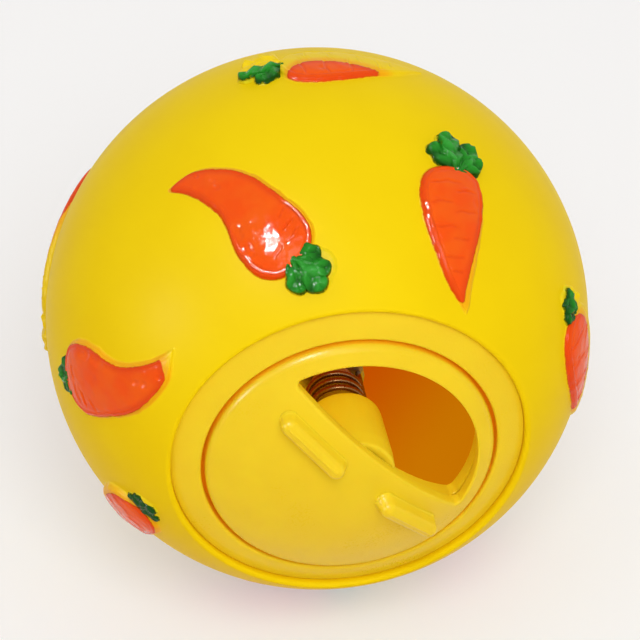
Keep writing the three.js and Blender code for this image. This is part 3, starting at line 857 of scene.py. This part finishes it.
def pad_relief(carrots, tuft, seed):
    """The low pad under the leaflets, as flat points, heights, attributes, faces and row length."""
    x, y, radius = tuft["pad"]
    angle = np.linspace(0, 2 * math.pi, PAD_STEPS, endpoint=False)
    edge = radius * (1 - 0.1 * np.abs(np.sin(2.5 * angle + seed)) + 0.03 * np.sin(7 * angle))
    loop = np.column_stack([x + edge * np.cos(angle), y + edge * np.sin(angle)])
    spine = np.tile(np.array([[x, y]]), (PAD_STEPS, 1))
    flat, depth, _, _, faces = ringed(loop, spine, PAD_ROWS, PAD_SKIRT)
    height = carrots.pad / MM * eased(*PAD_SLOPE, depth) + PAD_UNEVENNESS * ripple(flat, seed)
    height = np.where(depth <= -PAD_SKIRT[0], SUNK_EDGE, height)
    marks = {"leaf_paint": np.full(len(depth), PAD_PAINT), "relief": height}
    return flat, height, marks, faces, PAD_STEPS


def on_ball(flat, height, radius, place):
    """Lays flat points on the ball: x to the right of the leaves' heading, y ahead."""
    start, around, leaves = (math.radians(a) for a in place)
    spoke = np.array([math.cos(around), 0, math.sin(around)])
    axis = np.array([0, 1, 0])
    out = spoke * math.sin(start) - axis * math.cos(start)
    back = spoke * math.cos(start) + axis * math.sin(start)
    ahead = back * math.cos(leaves) + np.cross(out, back) * math.sin(leaves)
    right = np.cross(ahead, out)
    reach = np.maximum(np.linalg.norm(flat, axis=1), 1e-9)
    angle = (reach / radius)[:, None]
    way = (flat[:, 1:] * ahead + flat[:, :1] * right) / reach[:, None]
    return (out * np.cos(angle) + way * np.sin(angle)) * (radius + height)[:, None]


def new_group(name, inputs, outputs):
    """An empty shader node group with its sockets, and its input and output nodes."""
    group = bpy.data.node_groups.new(name, "ShaderNodeTree")
    for label, kind, default in inputs:
        socket = group.interface.new_socket(name=label, in_out="INPUT", socket_type=kind)
        socket.default_value = default
    for label, kind in outputs:
        group.interface.new_socket(name=label, in_out="OUTPUT", socket_type=kind)
    start = group.nodes.new("NodeGroupInput")
    end = group.nodes.new("NodeGroupOutput")
    return group, start, end


def feed(tree, socket, value):
    """Sets a socket to a plain number or colour, or links another socket to it."""
    if isinstance(value, (int, float, tuple)):
        socket.default_value = value
    else:
        tree.links.new(value, socket)


def math_node(tree, operation, a, b):
    """A Math node fed by sockets or plain numbers."""
    node = tree.nodes.new("ShaderNodeMath")
    node.operation = operation
    feed(tree, node.inputs[0], a)
    feed(tree, node.inputs[1], b)
    return node.outputs[0]


def eased_node(tree, value, low, high, out_low=0.0, out_high=1.0):
    """A Map Range node that eases from one value to another."""
    node = tree.nodes.new("ShaderNodeMapRange")
    node.interpolation_type = "SMOOTHSTEP"
    tree.links.new(value, node.inputs["Value"])
    ends = {"From Min": low, "From Max": high, "To Min": out_low, "To Max": out_high}
    for label, end in ends.items():
        feed(tree, node.inputs[label], end)
    return node.outputs["Result"]


def noise_node(tree, vector, scale, detail=2.0, roughness=0.5):
    """A noise from 0 to 1."""
    node = tree.nodes.new("ShaderNodeTexNoise")
    node.inputs["Detail"].default_value = detail
    node.inputs["Roughness"].default_value = roughness
    tree.links.new(vector, node.inputs["Vector"])
    feed(tree, node.inputs["Scale"], scale)
    return node.outputs["Fac"]


def blend_node(tree, share, first, second, mode="MIX"):
    """A colour mix of two sockets or plain colours."""
    node = tree.nodes.new("ShaderNodeMix")
    node.data_type = "RGBA"
    node.blend_type = mode
    for plug, value in zip((0, 6, 7), (share, first, second)):
        feed(tree, node.inputs[plug], value)
    return node.outputs[2]


def place_in(tree):
    """The place of each point in the ball's own space."""
    return tree.nodes.new("ShaderNodeTexCoord").outputs["Object"]


def carried(tree, label):
    """A value that the mesh carries at its points."""
    node = tree.nodes.new("ShaderNodeAttribute")
    node.attribute_name = label
    return node.outputs["Fac"]


def moulded_group():
    """Satin of moulded plastic: fine grain, slow waves and small changes of tone."""
    group, start, end = new_group(
        "Moulded Plastic",
        [
            ("Colour", "NodeSocketColor", WHITE),
            ("Grain Scale", "NodeSocketFloat", 2500.0),
            ("Grain", "NodeSocketFloat", 0.3),
            ("Wave Scale", "NodeSocketFloat", 90.0),
            ("Roughness", "NodeSocketFloat", 0.4),
            ("Spread", "NodeSocketFloat", 0.06),
        ],
        [
            ("Colour", "NodeSocketColor"),
            ("Roughness", "NodeSocketFloat"),
            ("Height", "NodeSocketFloat"),
        ],
    )
    where = place_in(group)
    grain = noise_node(group, where, start.outputs["Grain Scale"], detail=3.0)
    wave = noise_node(group, where, start.outputs["Wave Scale"])
    darkest, red_power = 0.955, 0.6
    tone = eased_node(group, wave, 0.3, 0.7, darkest, 1.0)
    shade = group.nodes.new("ShaderNodeCombineColor")
    group.links.new(math_node(group, "POWER", tone, red_power), shade.inputs[0])
    group.links.new(tone, shade.inputs[1])
    group.links.new(tone, shade.inputs[2])
    tinted = blend_node(group, 1.0, start.outputs["Colour"], shade.outputs[0], "MULTIPLY")
    group.links.new(tinted, end.inputs["Colour"])
    swing = math_node(group, "SUBTRACT", math_node(group, "ADD", grain, wave), 1.0)
    swing = math_node(group, "MULTIPLY", swing, start.outputs["Spread"])
    rough = math_node(group, "ADD", start.outputs["Roughness"], swing)
    group.links.new(rough, end.inputs["Roughness"])
    fine = math_node(group, "MULTIPLY", grain, start.outputs["Grain"])
    group.links.new(math_node(group, "ADD", fine, wave), end.inputs["Height"])
    return group


def sprayed_group():
    """Edge of sprayed paint: a mask from the depth inside it, with a wandering, speckled edge."""
    group, start, end = new_group(
        "Sprayed Edge",
        [
            ("Depth", "NodeSocketFloat", 0.0),
            ("Softness", "NodeSocketFloat", 0.1),
            ("Wander", "NodeSocketFloat", 0.2),
            ("Scale", "NodeSocketFloat", 700.0),
        ],
        [("Mask", "NodeSocketFloat")],
    )
    where = place_in(group)
    noise = noise_node(group, where, start.outputs["Scale"], detail=4.0, roughness=0.65)
    swing = math_node(group, "MULTIPLY", math_node(group, "SUBTRACT", noise, 0.5), 2.0)
    swing = math_node(group, "MULTIPLY", swing, start.outputs["Wander"])
    depth = math_node(group, "ADD", start.outputs["Depth"], swing)
    low = math_node(group, "MULTIPLY", start.outputs["Softness"], -1.0)
    group.links.new(eased_node(group, depth, low, start.outputs["Softness"]), end.inputs["Mask"])
    return group


def metal_group():
    """Marks of drawn or plated metal: duller patches, uneven gloss and a faint relief."""
    group, start, end = new_group(
        "Marked Metal",
        [
            ("Colour", "NodeSocketColor", WHITE),
            ("Scale", "NodeSocketFloat", 2000.0),
            ("Roughness", "NodeSocketFloat", 0.2),
            ("Spread", "NodeSocketFloat", 0.16),
        ],
        [
            ("Colour", "NodeSocketColor"),
            ("Roughness", "NodeSocketFloat"),
            ("Height", "NodeSocketFloat"),
        ],
    )
    where = place_in(group)
    marks = noise_node(group, where, start.outputs["Scale"], detail=4.0, roughness=0.6)
    dull = blend_node(group, 1.0, start.outputs["Colour"], DULL_METAL, "MULTIPLY")
    worn = eased_node(group, marks, 0.35, 0.75)
    tinted = blend_node(group, worn, start.outputs["Colour"], dull)
    group.links.new(tinted, end.inputs["Colour"])
    rough = start.outputs["Roughness"]
    rougher = math_node(group, "ADD", rough, start.outputs["Spread"])
    group.links.new(eased_node(group, marks, 0.3, 0.7, rough, rougher), end.inputs["Roughness"])
    group.links.new(marks, end.inputs["Height"])
    return group


def placed(tree, name, make, values):
    """Places a node group in a material with its own values. The group is made the first time."""
    node = tree.nodes.new("ShaderNodeGroup")
    node.node_tree = bpy.data.node_groups.get(name) or make()
    for label, value in values.items():
        feed(tree, node.inputs[label], value)
    return node.outputs


def new_material(name):
    """A material with a Principled shader."""
    material = bpy.data.materials.new(name)
    material.use_nodes = True
    return material, material.node_tree, material.node_tree.nodes["Principled BSDF"]


def raised(tree, shader, height, distance):
    """A Bump node that turns a height into the shader's normal."""
    bump = tree.nodes.new("ShaderNodeBump")
    bump.inputs["Distance"].default_value = distance
    bump.inputs["Strength"].default_value = 1.0
    tree.links.new(height, bump.inputs["Height"])
    tree.links.new(bump.outputs["Normal"], shader.inputs["Normal"])


def blend_value(tree, share, first, second):
    """A mix of two numbers."""
    node = tree.nodes.new("ShaderNodeMix")
    for plug, value in zip((0, 2, 3), (share, first, second)):
        feed(tree, node.inputs[plug], value)
    return node.outputs[0]


def pale_share(tree):
    """1 for rays from the camera, off a glossy surface or through a clear one, and 0 for others."""
    rays = tree.nodes.new("ShaderNodeLightPath")
    seen = math_node(tree, "MAXIMUM", rays.outputs["Is Camera Ray"], rays.outputs["Is Glossy Ray"])
    return math_node(tree, "MAXIMUM", seen, rays.outputs["Is Transmission Ray"])


def full(tint):
    """A colour with a full alpha."""
    return (*tint, 1.0)


def vinyl_skin(tree, ball):
    """The satin skin of the ball's vinyl."""
    values = {"Colour": full(ball.tint), "Roughness": 0.42, "Grain": 0.25, "Wave Scale": 60.0}
    return placed(tree, "Moulded Plastic", moulded_group, values)


def vinyl_material(ball):
    """Soft yellow vinyl with a satin skin. Its inner wall carries painted shade in its colour and a
    painted glow, an emission that stands in for the light coming through it.
    """
    material, tree, shader = new_material("yellow_vinyl")
    skin = vinyl_skin(tree, ball)
    inner = carried(tree, "inner_wall")
    # painted shade on the inner wall
    shaded_colour = blend_node(tree, inner, skin["Colour"], INNER_WALL_SHADE_TINT)
    tree.links.new(shaded_colour, shader.inputs["Base Color"])
    tree.links.new(skin["Roughness"], shader.inputs["Roughness"])
    across = tree.nodes.new("ShaderNodeVectorMath")
    across.operation = "DOT_PRODUCT"
    across.inputs[1].default_value = LIT_SIDE
    tree.links.new(place_in(tree), across.inputs[0])
    low, high = (distance * MM for distance in LIT_SLOPE)
    lit = eased_node(tree, across.outputs["Value"], low, high)
    # painted glow: an emission standing in for light through the wall, brighter towards the lit side
    inside = blend_node(tree, lit, full(ball.inside_deep), full(ball.inside))
    seen = pale_share(tree)
    glow = blend_node(tree, seen, full(ball.glow), inside)
    tree.links.new(blend_node(tree, inner, BLACK, glow), shader.inputs["Emission Color"])
    glow_unseen, glow_seen = 0.6, 0.36
    strength = blend_value(tree, seen, glow_unseen, glow_seen)
    tree.links.new(strength, shader.inputs["Emission Strength"])
    shader.inputs["Specular IOR Level"].default_value = 0.03
    raised(tree, shader, skin["Height"], 0.03 * MM)
    return material


def edge_mask(tree, depth, softness, wander, scale):
    """The mask of a sprayed coat from the depth inside its edge."""
    values = {"Depth": depth, "Softness": softness, "Wander": wander, "Scale": scale}
    return placed(tree, "Sprayed Edge", sprayed_group, values)["Mask"]


def root_colour(tree, carrots, marks, where):
    """Orange paint with paler patches, and painted shade along its edge and in the grooves."""
    red, green, blue = carrots.root_tint
    pale = (red, green * 1.3, blue * 2, 1)
    # deep is painted shade, laid along the paint's edge and in the grooves
    deep = (red * 0.88, green * 0.75, blue * 0.5, 1)
    edge_inner, edge_outer, groove_shade_share = 1.3, 0.1, 0.5
    patches = eased_node(tree, noise_node(tree, where, PATCH_SCALE, detail=3.0), 0.35, 0.65)
    orange = blend_node(tree, patches, full(carrots.root_tint), pale)
    edge = eased_node(tree, marks["root_paint"], edge_inner, edge_outer)
    groove_shade = math_node(tree, "MULTIPLY", marks["groove_shade"], groove_shade_share)
    return blend_node(tree, math_node(tree, "MAXIMUM", edge, groove_shade), orange, deep)


def leaf_colour(tree, carrots, marks):
    """Green paint, with painted shade low down between the leaflets and painted light on their tops.
    """
    darker, top_share = 0.3, 0.6
    shaded_green = (*(part * darker for part in carrots.leaf_tint), 1)
    low = eased_node(tree, marks["relief"], 1.2, 0.55)
    high = eased_node(tree, marks["relief"], 1.1, 1.6, 0.0, top_share)
    green = blend_node(tree, low, full(carrots.leaf_tint), shaded_green)
    return blend_node(tree, high, green, LEAF_TOP_LIGHT_TINT)


def paint_height(tree, skin, where, wet, leaf_coat):
    """The paint's thickness, its fine peel and slow flow, and crinkles on the leaves."""
    peel_high, flow_high, crinkle_high, skin_share = 0.6, 3.0, 7.0, 0.35
    peel = noise_node(tree, where, PEEL_SCALE, detail=3.0, roughness=0.6)
    peel = math_node(tree, "MULTIPLY", peel, peel_high)
    flow = math_node(tree, "MULTIPLY", noise_node(tree, where, FLOW_SCALE), flow_high)
    on_leaves = math_node(tree, "MULTIPLY", leaf_coat, crinkle_high)
    crinkle = noise_node(tree, where, CRINKLE_SCALE, detail=1.0)
    crinkle = math_node(tree, "MULTIPLY", crinkle, on_leaves)
    film = math_node(tree, "ADD", peel, math_node(tree, "ADD", flow, crinkle))
    film = math_node(tree, "MULTIPLY", film, wet)
    under = math_node(tree, "MULTIPLY", skin["Height"], skin_share)
    return math_node(tree, "ADD", math_node(tree, "ADD", under, film), wet)


def carrot_material(ball, carrots):
    """The ball's vinyl under sprayed orange and green paint."""
    material, tree, shader = new_material("painted_vinyl")
    skin = vinyl_skin(tree, ball)
    where = place_in(tree)
    marks = {label: carried(tree, label) for label in PLAIN}
    half_sprayed = 0.5
    haze = math_node(tree, "SUBTRACT", marks["spray"], half_sprayed)
    haze = edge_mask(tree, haze, 0.5, 0.22, 1400.0)
    coat = edge_mask(tree, marks["root_paint"], 0.09, 0.2, 1500.0)
    leaf_haze_reach = 0.15
    leaf_haze = math_node(tree, "ADD", marks["leaf_paint"], leaf_haze_reach)
    leaf_haze = edge_mask(tree, leaf_haze, 0.4, 0.4, 1300.0)
    leaf_coat = edge_mask(tree, marks["leaf_paint"], 0.08, 0.3, 900.0)
    haze_cover, leaf_haze_cover = 0.72, 0.5
    layers = [
        (math_node(tree, "MULTIPLY", haze, haze_cover), full(carrots.spray_tint)),
        (coat, root_colour(tree, carrots, marks, where)),
        (math_node(tree, "MULTIPLY", leaf_haze, leaf_haze_cover), LEAF_SPRAY_TINT),
        (leaf_coat, leaf_colour(tree, carrots, marks)),
    ]
    painted = skin["Colour"]
    for mask, tint in layers:
        painted = blend_node(tree, mask, painted, tint)
    tree.links.new(painted, shader.inputs["Base Color"])
    wet = math_node(tree, "MAXIMUM", coat, leaf_coat)
    smoothest, roughest = 0.06, 0.15
    gloss = noise_node(tree, where, GLOSS_SCALE)
    gloss = eased_node(tree, gloss, 0.3, 0.7, smoothest, roughest)
    rough = blend_value(tree, wet, skin["Roughness"], gloss)
    tree.links.new(rough, shader.inputs["Roughness"])
    raised(tree, shader, paint_height(tree, skin, where, wet, leaf_coat), 0.05 * MM)
    shader.inputs["Specular IOR Level"].default_value = 0.11
    return material


def plastic_material(insert):
    """Hard, paler yellow plastic with a fine moulded sheen, painted shade and a painted glow in the
    seam round the dial, and painted shade on the shaft inside the spring.
    """
    material, tree, shader = new_material("yellow_hard_plastic")
    values = {
        "Colour": full(insert.tint),
        "Roughness": 0.31,
        "Grain": 0.8,
        "Grain Scale": 3200.0,
        "Wave Scale": 130.0,
        "Spread": 0.14,
    }
    skin = placed(tree, "Moulded Plastic", moulded_group, values)
    # painted shade and painted glow, strongest deep in the seam round the dial
    seam_shade = carried(tree, "seam_shade")
    shaded_colour = blend_node(tree, seam_shade, skin["Colour"], SEAM_SHADE_TINT)
    shaded_colour = blend_node(tree, carried(tree, "shade"), shaded_colour, SHADED_TINT)
    tree.links.new(shaded_colour, shader.inputs["Base Color"])
    glow = blend_node(tree, seam_shade, BLACK, SEAM_PAINTED_GLOW)
    tree.links.new(glow, shader.inputs["Emission Color"])
    shader.inputs["Emission Strength"].default_value = 0.3
    tree.links.new(skin["Roughness"], shader.inputs["Roughness"])
    shader.inputs["Specular IOR Level"].default_value = 0.13
    shader.inputs["Subsurface Weight"].default_value = 0.15
    shader.inputs["Subsurface Radius"].default_value = (1.0, 0.5, 0.08)
    shader.inputs["Subsurface Scale"].default_value = 0.0015
    raised(tree, shader, skin["Height"], 0.03 * MM)
    return material


def metal_material(name, tint, roughness, scale):
    """Drawn or plated metal with fine marks."""
    material, tree, shader = new_material(name)
    values = {"Colour": full(tint), "Scale": scale, "Roughness": roughness}
    marked = placed(tree, "Marked Metal", metal_group, values)
    tree.links.new(marked["Colour"], shader.inputs["Base Color"])
    shader.inputs["Metallic"].default_value = 1.0
    tree.links.new(marked["Roughness"], shader.inputs["Roughness"])
    raised(tree, shader, marked["Height"], 0.01 * MM)
    return material


def hard_plastic(insert):
    """The material of the insert and the dial, made the first time."""
    return bpy.data.materials.get("yellow_hard_plastic") or plastic_material(insert)


class TREATBALL_OT_ball(bpy.types.Operator):
    """Build the vinyl ball with its rounded lip"""

    bl_idname = "treat_ball.ball"
    bl_label = "Ball"

    def execute(self, context):
        ball = context.scene.treat_ball_ball
        outer, mouth = ball.radius / MM, ball.mouth / MM
        inner, lip_round = outer - ball.wall / MM, ball.lip / MM
        high = sphere_height(outer, mouth)
        outward = (mouth + high, high - mouth)
        lip = rounded(outward, (mouth, high), (mouth, 0), lip_round, 2 * EDGE_STEPS)
        start = math.asin(lip[0][0] / outer)
        profile = [(0, -outer)]
        for angle in np.linspace(math.pi, start, OUTER_ROWS)[1:-1]:
            profile.append((outer * math.sin(angle), outer * math.cos(angle)))
        skin_rows = len(profile) + len(lip)
        profile += lip
        for angle in np.linspace(math.asin(mouth / inner), math.pi, INNER_ROWS)[:-1]:
            profile.append((inner * math.sin(angle), inner * math.cos(angle)))
        profile.append((0, -inner))
        points, faces = turned(profile[::-1])
        inner_points = len(points) - 1 - (skin_rows - 1) * ROUND_STEPS
        wall = [1.0 if i < inner_points else 0.0 for i in range(len(points))]
        new_piece(
            "vinyl_ball",
            [(points, faces)],
            vinyl_material(ball),
            "ball",
            ["ball_shell"],
            {"inner_wall": wall},
        )
        return {"FINISHED"}


class TREATBALL_OT_carrots(bpy.types.Operator):
    """Build the raised, painted carrots"""

    bl_idname = "treat_ball.carrots"
    bl_label = "Carrots"

    def execute(self, context):
        ball = context.scene.treat_ball_ball
        carrots = context.scene.treat_ball_carrots
        material = carrot_material(ball, carrots)
        for index, carrot in enumerate(CARROTS):
            self.add_carrot(ball, carrots, material, index, carrot)
        return {"FINISHED"}

    def add_carrot(self, ball, carrots, material, index, carrot):
        """One carrot: its root, its pad and its leaflets, each closed by a fan to a point inside."""
        root, tuft, start, around, leaves, bare, paint_end = carrot
        radius = ball.radius / MM
        place = (start, around, leaves)
        keel = np.array([-KEEL_SHARE * ball.wall / MM])
        bodies = [root_relief(carrots, root, bare, index + 1), pad_relief(carrots, tuft, index)]
        for order in range(len(tuft["leaflets"])):
            bodies.append(leaflet_relief(tuft, order, index, paint_end))
        parts, values = [], {label: [] for label in PLAIN}
        for flat, height, marks, faces, count in bodies:
            top = on_ball(flat, height - SUNK, radius, place)
            foot = on_ball(flat[:count].mean(0)[None], keel, radius, place)
            fan = [((i + 1) % count, i, len(top)) for i in range(count)]
            parts.append((np.concatenate([top, foot]), faces + fan))
            for label, plain in PLAIN.items():
                values[label] += [*marks.get(label, [plain] * len(top)), plain]
        number = f"{index + 1:02d}"
        new_piece(
            f"raised_carrot_{number}",
            parts,
            material,
            "ball",
            [f"carrot_{number}_root", f"carrot_{number}_leaves"],
            values,
        )


class TREATBALL_OT_insert(bpy.types.Operator):
    """Build the ring, the web and the hub that fill the ball's mouth"""

    bl_idname = "treat_ball.insert"
    bl_label = "Insert"

    def execute(self, context):
        insert = context.scene.treat_ball_insert
        dial = context.scene.treat_ball_dial
        face, ring, seat = insert.face / MM, insert.ring / MM, insert.seat / MM
        web, back = insert.web_face / MM, insert.web_back / MM
        flange, front = insert.flange / MM, insert.flange_face / MM
        flange_back = front - insert.flange_wall / MM
        bore, hub, end = insert.hub_bore / MM, insert.hub / MM, insert.hub_end / MM
        ring_rise = insert.ring_rise / MM
        sink = 0.5  # how far the seat's wall runs down into the web
        under = seat - 0.6  # the ring's back runs in as far as this, inside the web
        corners = [
            (seat, sphere_height(web, seat) - sink, 0),
            (seat, sphere_height(face, seat), 0.35),
            (ring, sphere_height(face, ring) + ring_rise, 0.3),
            (ring, sphere_height(front, ring), 0.2),
            (flange, sphere_height(front, flange), 0.3),
            (flange, sphere_height(flange_back, flange), 0.3),
            (ring, sphere_height(flange_back, ring), 0.3),
            (under, sphere_height(back, under) + 0.2, 0),
        ]
        profile = profile_of(corners)
        inner, outer = 6, 7  # points of the profile that the ring's face lies between
        arc = sphere_arc(face, profile[inner][0], profile[outer][0], steps=6)
        arc = [(d, h + ring_rise * (d - seat) / (ring - seat)) for d, h in arc]
        profile = [*profile[:outer], *arc[1:-1], *profile[outer:], profile[0]]
        top = sphere_height(web, bore) + 0.1
        hub_corners = [
            (bore, top, 0),
            (hub - 0.1, top, 0.45),
            (hub, sphere_height(back, hub), 0.3),
            (hub - insert.hub_taper / MM, end, 1.4),
            (bore, end, 0.25),
            (bore, top, 0),
        ]
        door = door_contour(
            insert.door / MM, insert.door_edge / MM, dial.door_corner / MM, insert.door_turn
        )
        into_ring, rim_round, door_round = 0.4, 0.1, 0.5
        plate = doored_plate(web, back, seat + into_ring, rim_round, door_round, door)
        parts = [turned(profile), plate, turned(profile_of(hub_corners), HUB_STEPS)]
        new_piece(
            "mouth_insert",
            parts,
            hard_plastic(insert),
            "ball",
            ["insert"],
            {"seam_shade": seam_depth(parts, face, dial.radius / MM)},
        )
        return {"FINISHED"}


class TREATBALL_OT_dial(bpy.types.Operator):
    """Build the dial with its opening, its shaft and its two finger grips"""

    bl_idname = "treat_ball.dial"
    bl_label = "Dial"

    def execute(self, context):
        insert = context.scene.treat_ball_insert
        dial = context.scene.treat_ball_dial
        face, wall = insert.face / MM, dial.wall / MM
        door = door_contour(
            dial.door / MM, dial.door_edge / MM, dial.door_corner / MM, dial.door_turn
        )
        door_round = 0.45
        plate = doored_plate(face, face - wall, dial.radius / MM, dial.rim / MM, door_round, door)
        shaft, end = dial.shaft / MM, dial.shaft_end / MM
        screw_bore, screw_top = 1.4, 21.2
        profile = profile_of(
            [
                (0, face - 0.5 * wall, 0),
                (shaft, face - 0.5 * wall, 0),
                (shaft, end, 0.3),
                (screw_bore, end, 0.1),
                (screw_bore, screw_top, 0),
                (0, screw_top, 0),
            ]
        )
        grips = [grip_bar(dial, face, 1), grip_bar(dial, face, -1)]
        parts = [plate, turned(profile, SHAFT_STEPS), *grips]
        new_piece(
            "turning_dial",
            parts,
            hard_plastic(insert),
            "dial",
            ["dial"],
            {
                "seam_shade": seam_depth(parts, face, dial.radius / MM),
                "shade": shaft_shade(parts, shaft, context.scene.treat_ball_spring.top / MM),
            },
        )
        return {"FINISHED"}


class TREATBALL_OT_spring(bpy.types.Operator):
    """Build the spring, and finish the washer and the screw behind it"""

    bl_idname = "treat_ball.spring"
    bl_label = "Spring and fasteners"

    def execute(self, context):
        spring = context.scene.treat_ball_spring
        # the wire's brown tint is painted reflection and painted shade on steel
        new_piece(
            "coil_spring",
            [tube(spring_line(spring), spring.wire / MM / 2)],
            metal_material("spring_wire", spring.tint, roughness=0.2, scale=2200.0),
            "dial",
            ["spring"],
        )
        plated = metal_material("plated_steel", spring.plate_tint, roughness=0.28, scale=1500.0)
        for name in ("washer", "screw"):
            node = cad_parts[name]
            if not node.material_slots:
                raise RuntimeError(f"the CAD node {name} has no material slot")
            for place in node.material_slots:
                place.link = "OBJECT"
                place.material = plated
        return {"FINISHED"}


class TREATBALL_OT_stage(bpy.types.Operator):
    """Set the floor, the light and the camera"""

    bl_idname = "treat_ball.stage"
    bl_label = "Stage"

    def execute(self, context):
        stage = context.scene.treat_ball_stage
        radius = context.scene.treat_ball_ball.radius
        self.add_floor(context, stage, radius)
        self.add_light(context, stage)
        self.add_camera(context, stage)
        context.scene.view_settings.view_transform = "Standard"
        return {"FINISHED"}

    def add_floor(self, context, stage, radius):
        """A pale floor that keeps the shadow. It sends a warmer light up than what is seen of it."""
        mesh = bpy.data.meshes.new("floor")
        corners = [(-1, -1), (1, -1), (1, 1), (-1, 1)]
        points = [(x * FLOOR_REACH, y * FLOOR_REACH, -radius) for x, y in corners]
        mesh.from_pydata(points, [], [(0, 1, 2, 3)])
        floor = bpy.data.objects.new("floor", mesh)
        context.scene.collection.objects.link(floor)
        material, tree, shader = new_material("pale_floor")
        seen = pale_share(tree)
        tint = blend_node(tree, seen, full(stage.bounce_tint), full(stage.floor_tint))
        tree.links.new(tint, shader.inputs["Base Color"])
        shader.inputs["Roughness"].default_value = 0.9
        shader.inputs["Specular IOR Level"].default_value = 0.0
        shader.inputs["Emission Color"].default_value = WHITE
        lift = math_node(tree, "MULTIPLY", seen, stage.lift)
        tree.links.new(lift, shader.inputs["Emission Strength"])
        mesh.materials.append(material)

    def add_light(self, context, stage):
        """Even light all round, a large lamp in front and small lamps that only make glints."""
        world = bpy.data.worlds.new("studio")
        world.use_nodes = True
        context.scene.world = world
        tree = world.node_tree
        backdrop = tree.nodes["Background"]
        seen = pale_share(tree)
        tint = blend_node(tree, seen, full(stage.sky_tint), WHITE)
        tree.links.new(tint, backdrop.inputs["Color"])
        tree.links.new(blend_value(tree, seen, stage.sky, 1.0), backdrop.inputs["Strength"])
        for name, place, size in LAMPS:
            is_key = name == "key"
            data = bpy.data.lights.new(name, "AREA")
            data.shape = "DISK"
            data.size = size
            data.energy = stage.key if is_key else stage.glint
            lamp = bpy.data.objects.new(name, data)
            lamp.visible_diffuse = is_key
            lamp.location = place
            lamp.rotation_euler = (-Vector(place)).to_track_quat("-Z", "Y").to_euler()
            context.scene.collection.objects.link(lamp)

    def add_camera(self, context, stage):
        """A camera that looks at the ball the way the photograph does."""
        data = bpy.data.cameras.new("camera")
        data.lens = stage.lens
        data.sensor_width = SENSOR_WIDTH
        data.shift_x, data.shift_y = CAMERA_SHIFT
        camera = bpy.data.objects.new("camera", data)
        a, e = stage.azimuth, stage.elevation
        back = Vector((math.sin(a) * math.cos(e), -math.cos(a) * math.cos(e), math.sin(e)))
        camera.location = back * stage.distance
        camera.rotation_euler = (-back).to_track_quat("-Z", "Y").to_euler()
        context.scene.collection.objects.link(camera)
        context.scene.camera = camera


GROUPS = {
    "treat_ball_ball": TreatBallBall,
    "treat_ball_carrots": TreatBallCarrots,
    "treat_ball_insert": TreatBallInsert,
    "treat_ball_dial": TreatBallDial,
    "treat_ball_spring": TreatBallSpring,
    "treat_ball_stage": TreatBallStage,
}
OPERATORS = [
    TREATBALL_OT_ball,
    TREATBALL_OT_carrots,
    TREATBALL_OT_insert,
    TREATBALL_OT_dial,
    TREATBALL_OT_spring,
    TREATBALL_OT_stage,
]


class TREATBALL_PT_panel(bpy.types.Panel):
    """Buttons and values for the treat ball"""

    bl_label = "Treat Ball"
    bl_space_type = "VIEW_3D"
    bl_region_type = "UI"
    bl_category = "Treat Ball"

    def draw(self, context):
        for operator in OPERATORS:
            self.layout.operator(operator.bl_idname)
        for label, group in GROUPS.items():
            box = self.layout.box()
            values = getattr(context.scene, label)
            for name in group.__annotations__:
                box.prop(values, name)


def register():
    """Adds the properties, the operators and the panel."""
    for label, group in GROUPS.items():
        bpy.utils.register_class(group)
        setattr(bpy.types.Scene, label, bpy.props.PointerProperty(type=group))
    for operator in OPERATORS:
        bpy.utils.register_class(operator)
    bpy.utils.register_class(TREATBALL_PT_panel)


def unregister():
    """Takes them away again."""
    bpy.utils.unregister_class(TREATBALL_PT_panel)
    for operator in reversed(OPERATORS):
        bpy.utils.unregister_class(operator)
    for label, group in reversed(GROUPS.items()):
        delattr(bpy.types.Scene, label)
        bpy.utils.unregister_class(group)


def main():
    """Builds the stage and every piece."""
    register()
    bpy.ops.treat_ball.stage()
    bpy.ops.treat_ball.ball()
    bpy.ops.treat_ball.carrots()
    bpy.ops.treat_ball.insert()
    bpy.ops.treat_ball.dial()
    bpy.ops.treat_ball.spring()


if __name__ == "__main__":
    main()
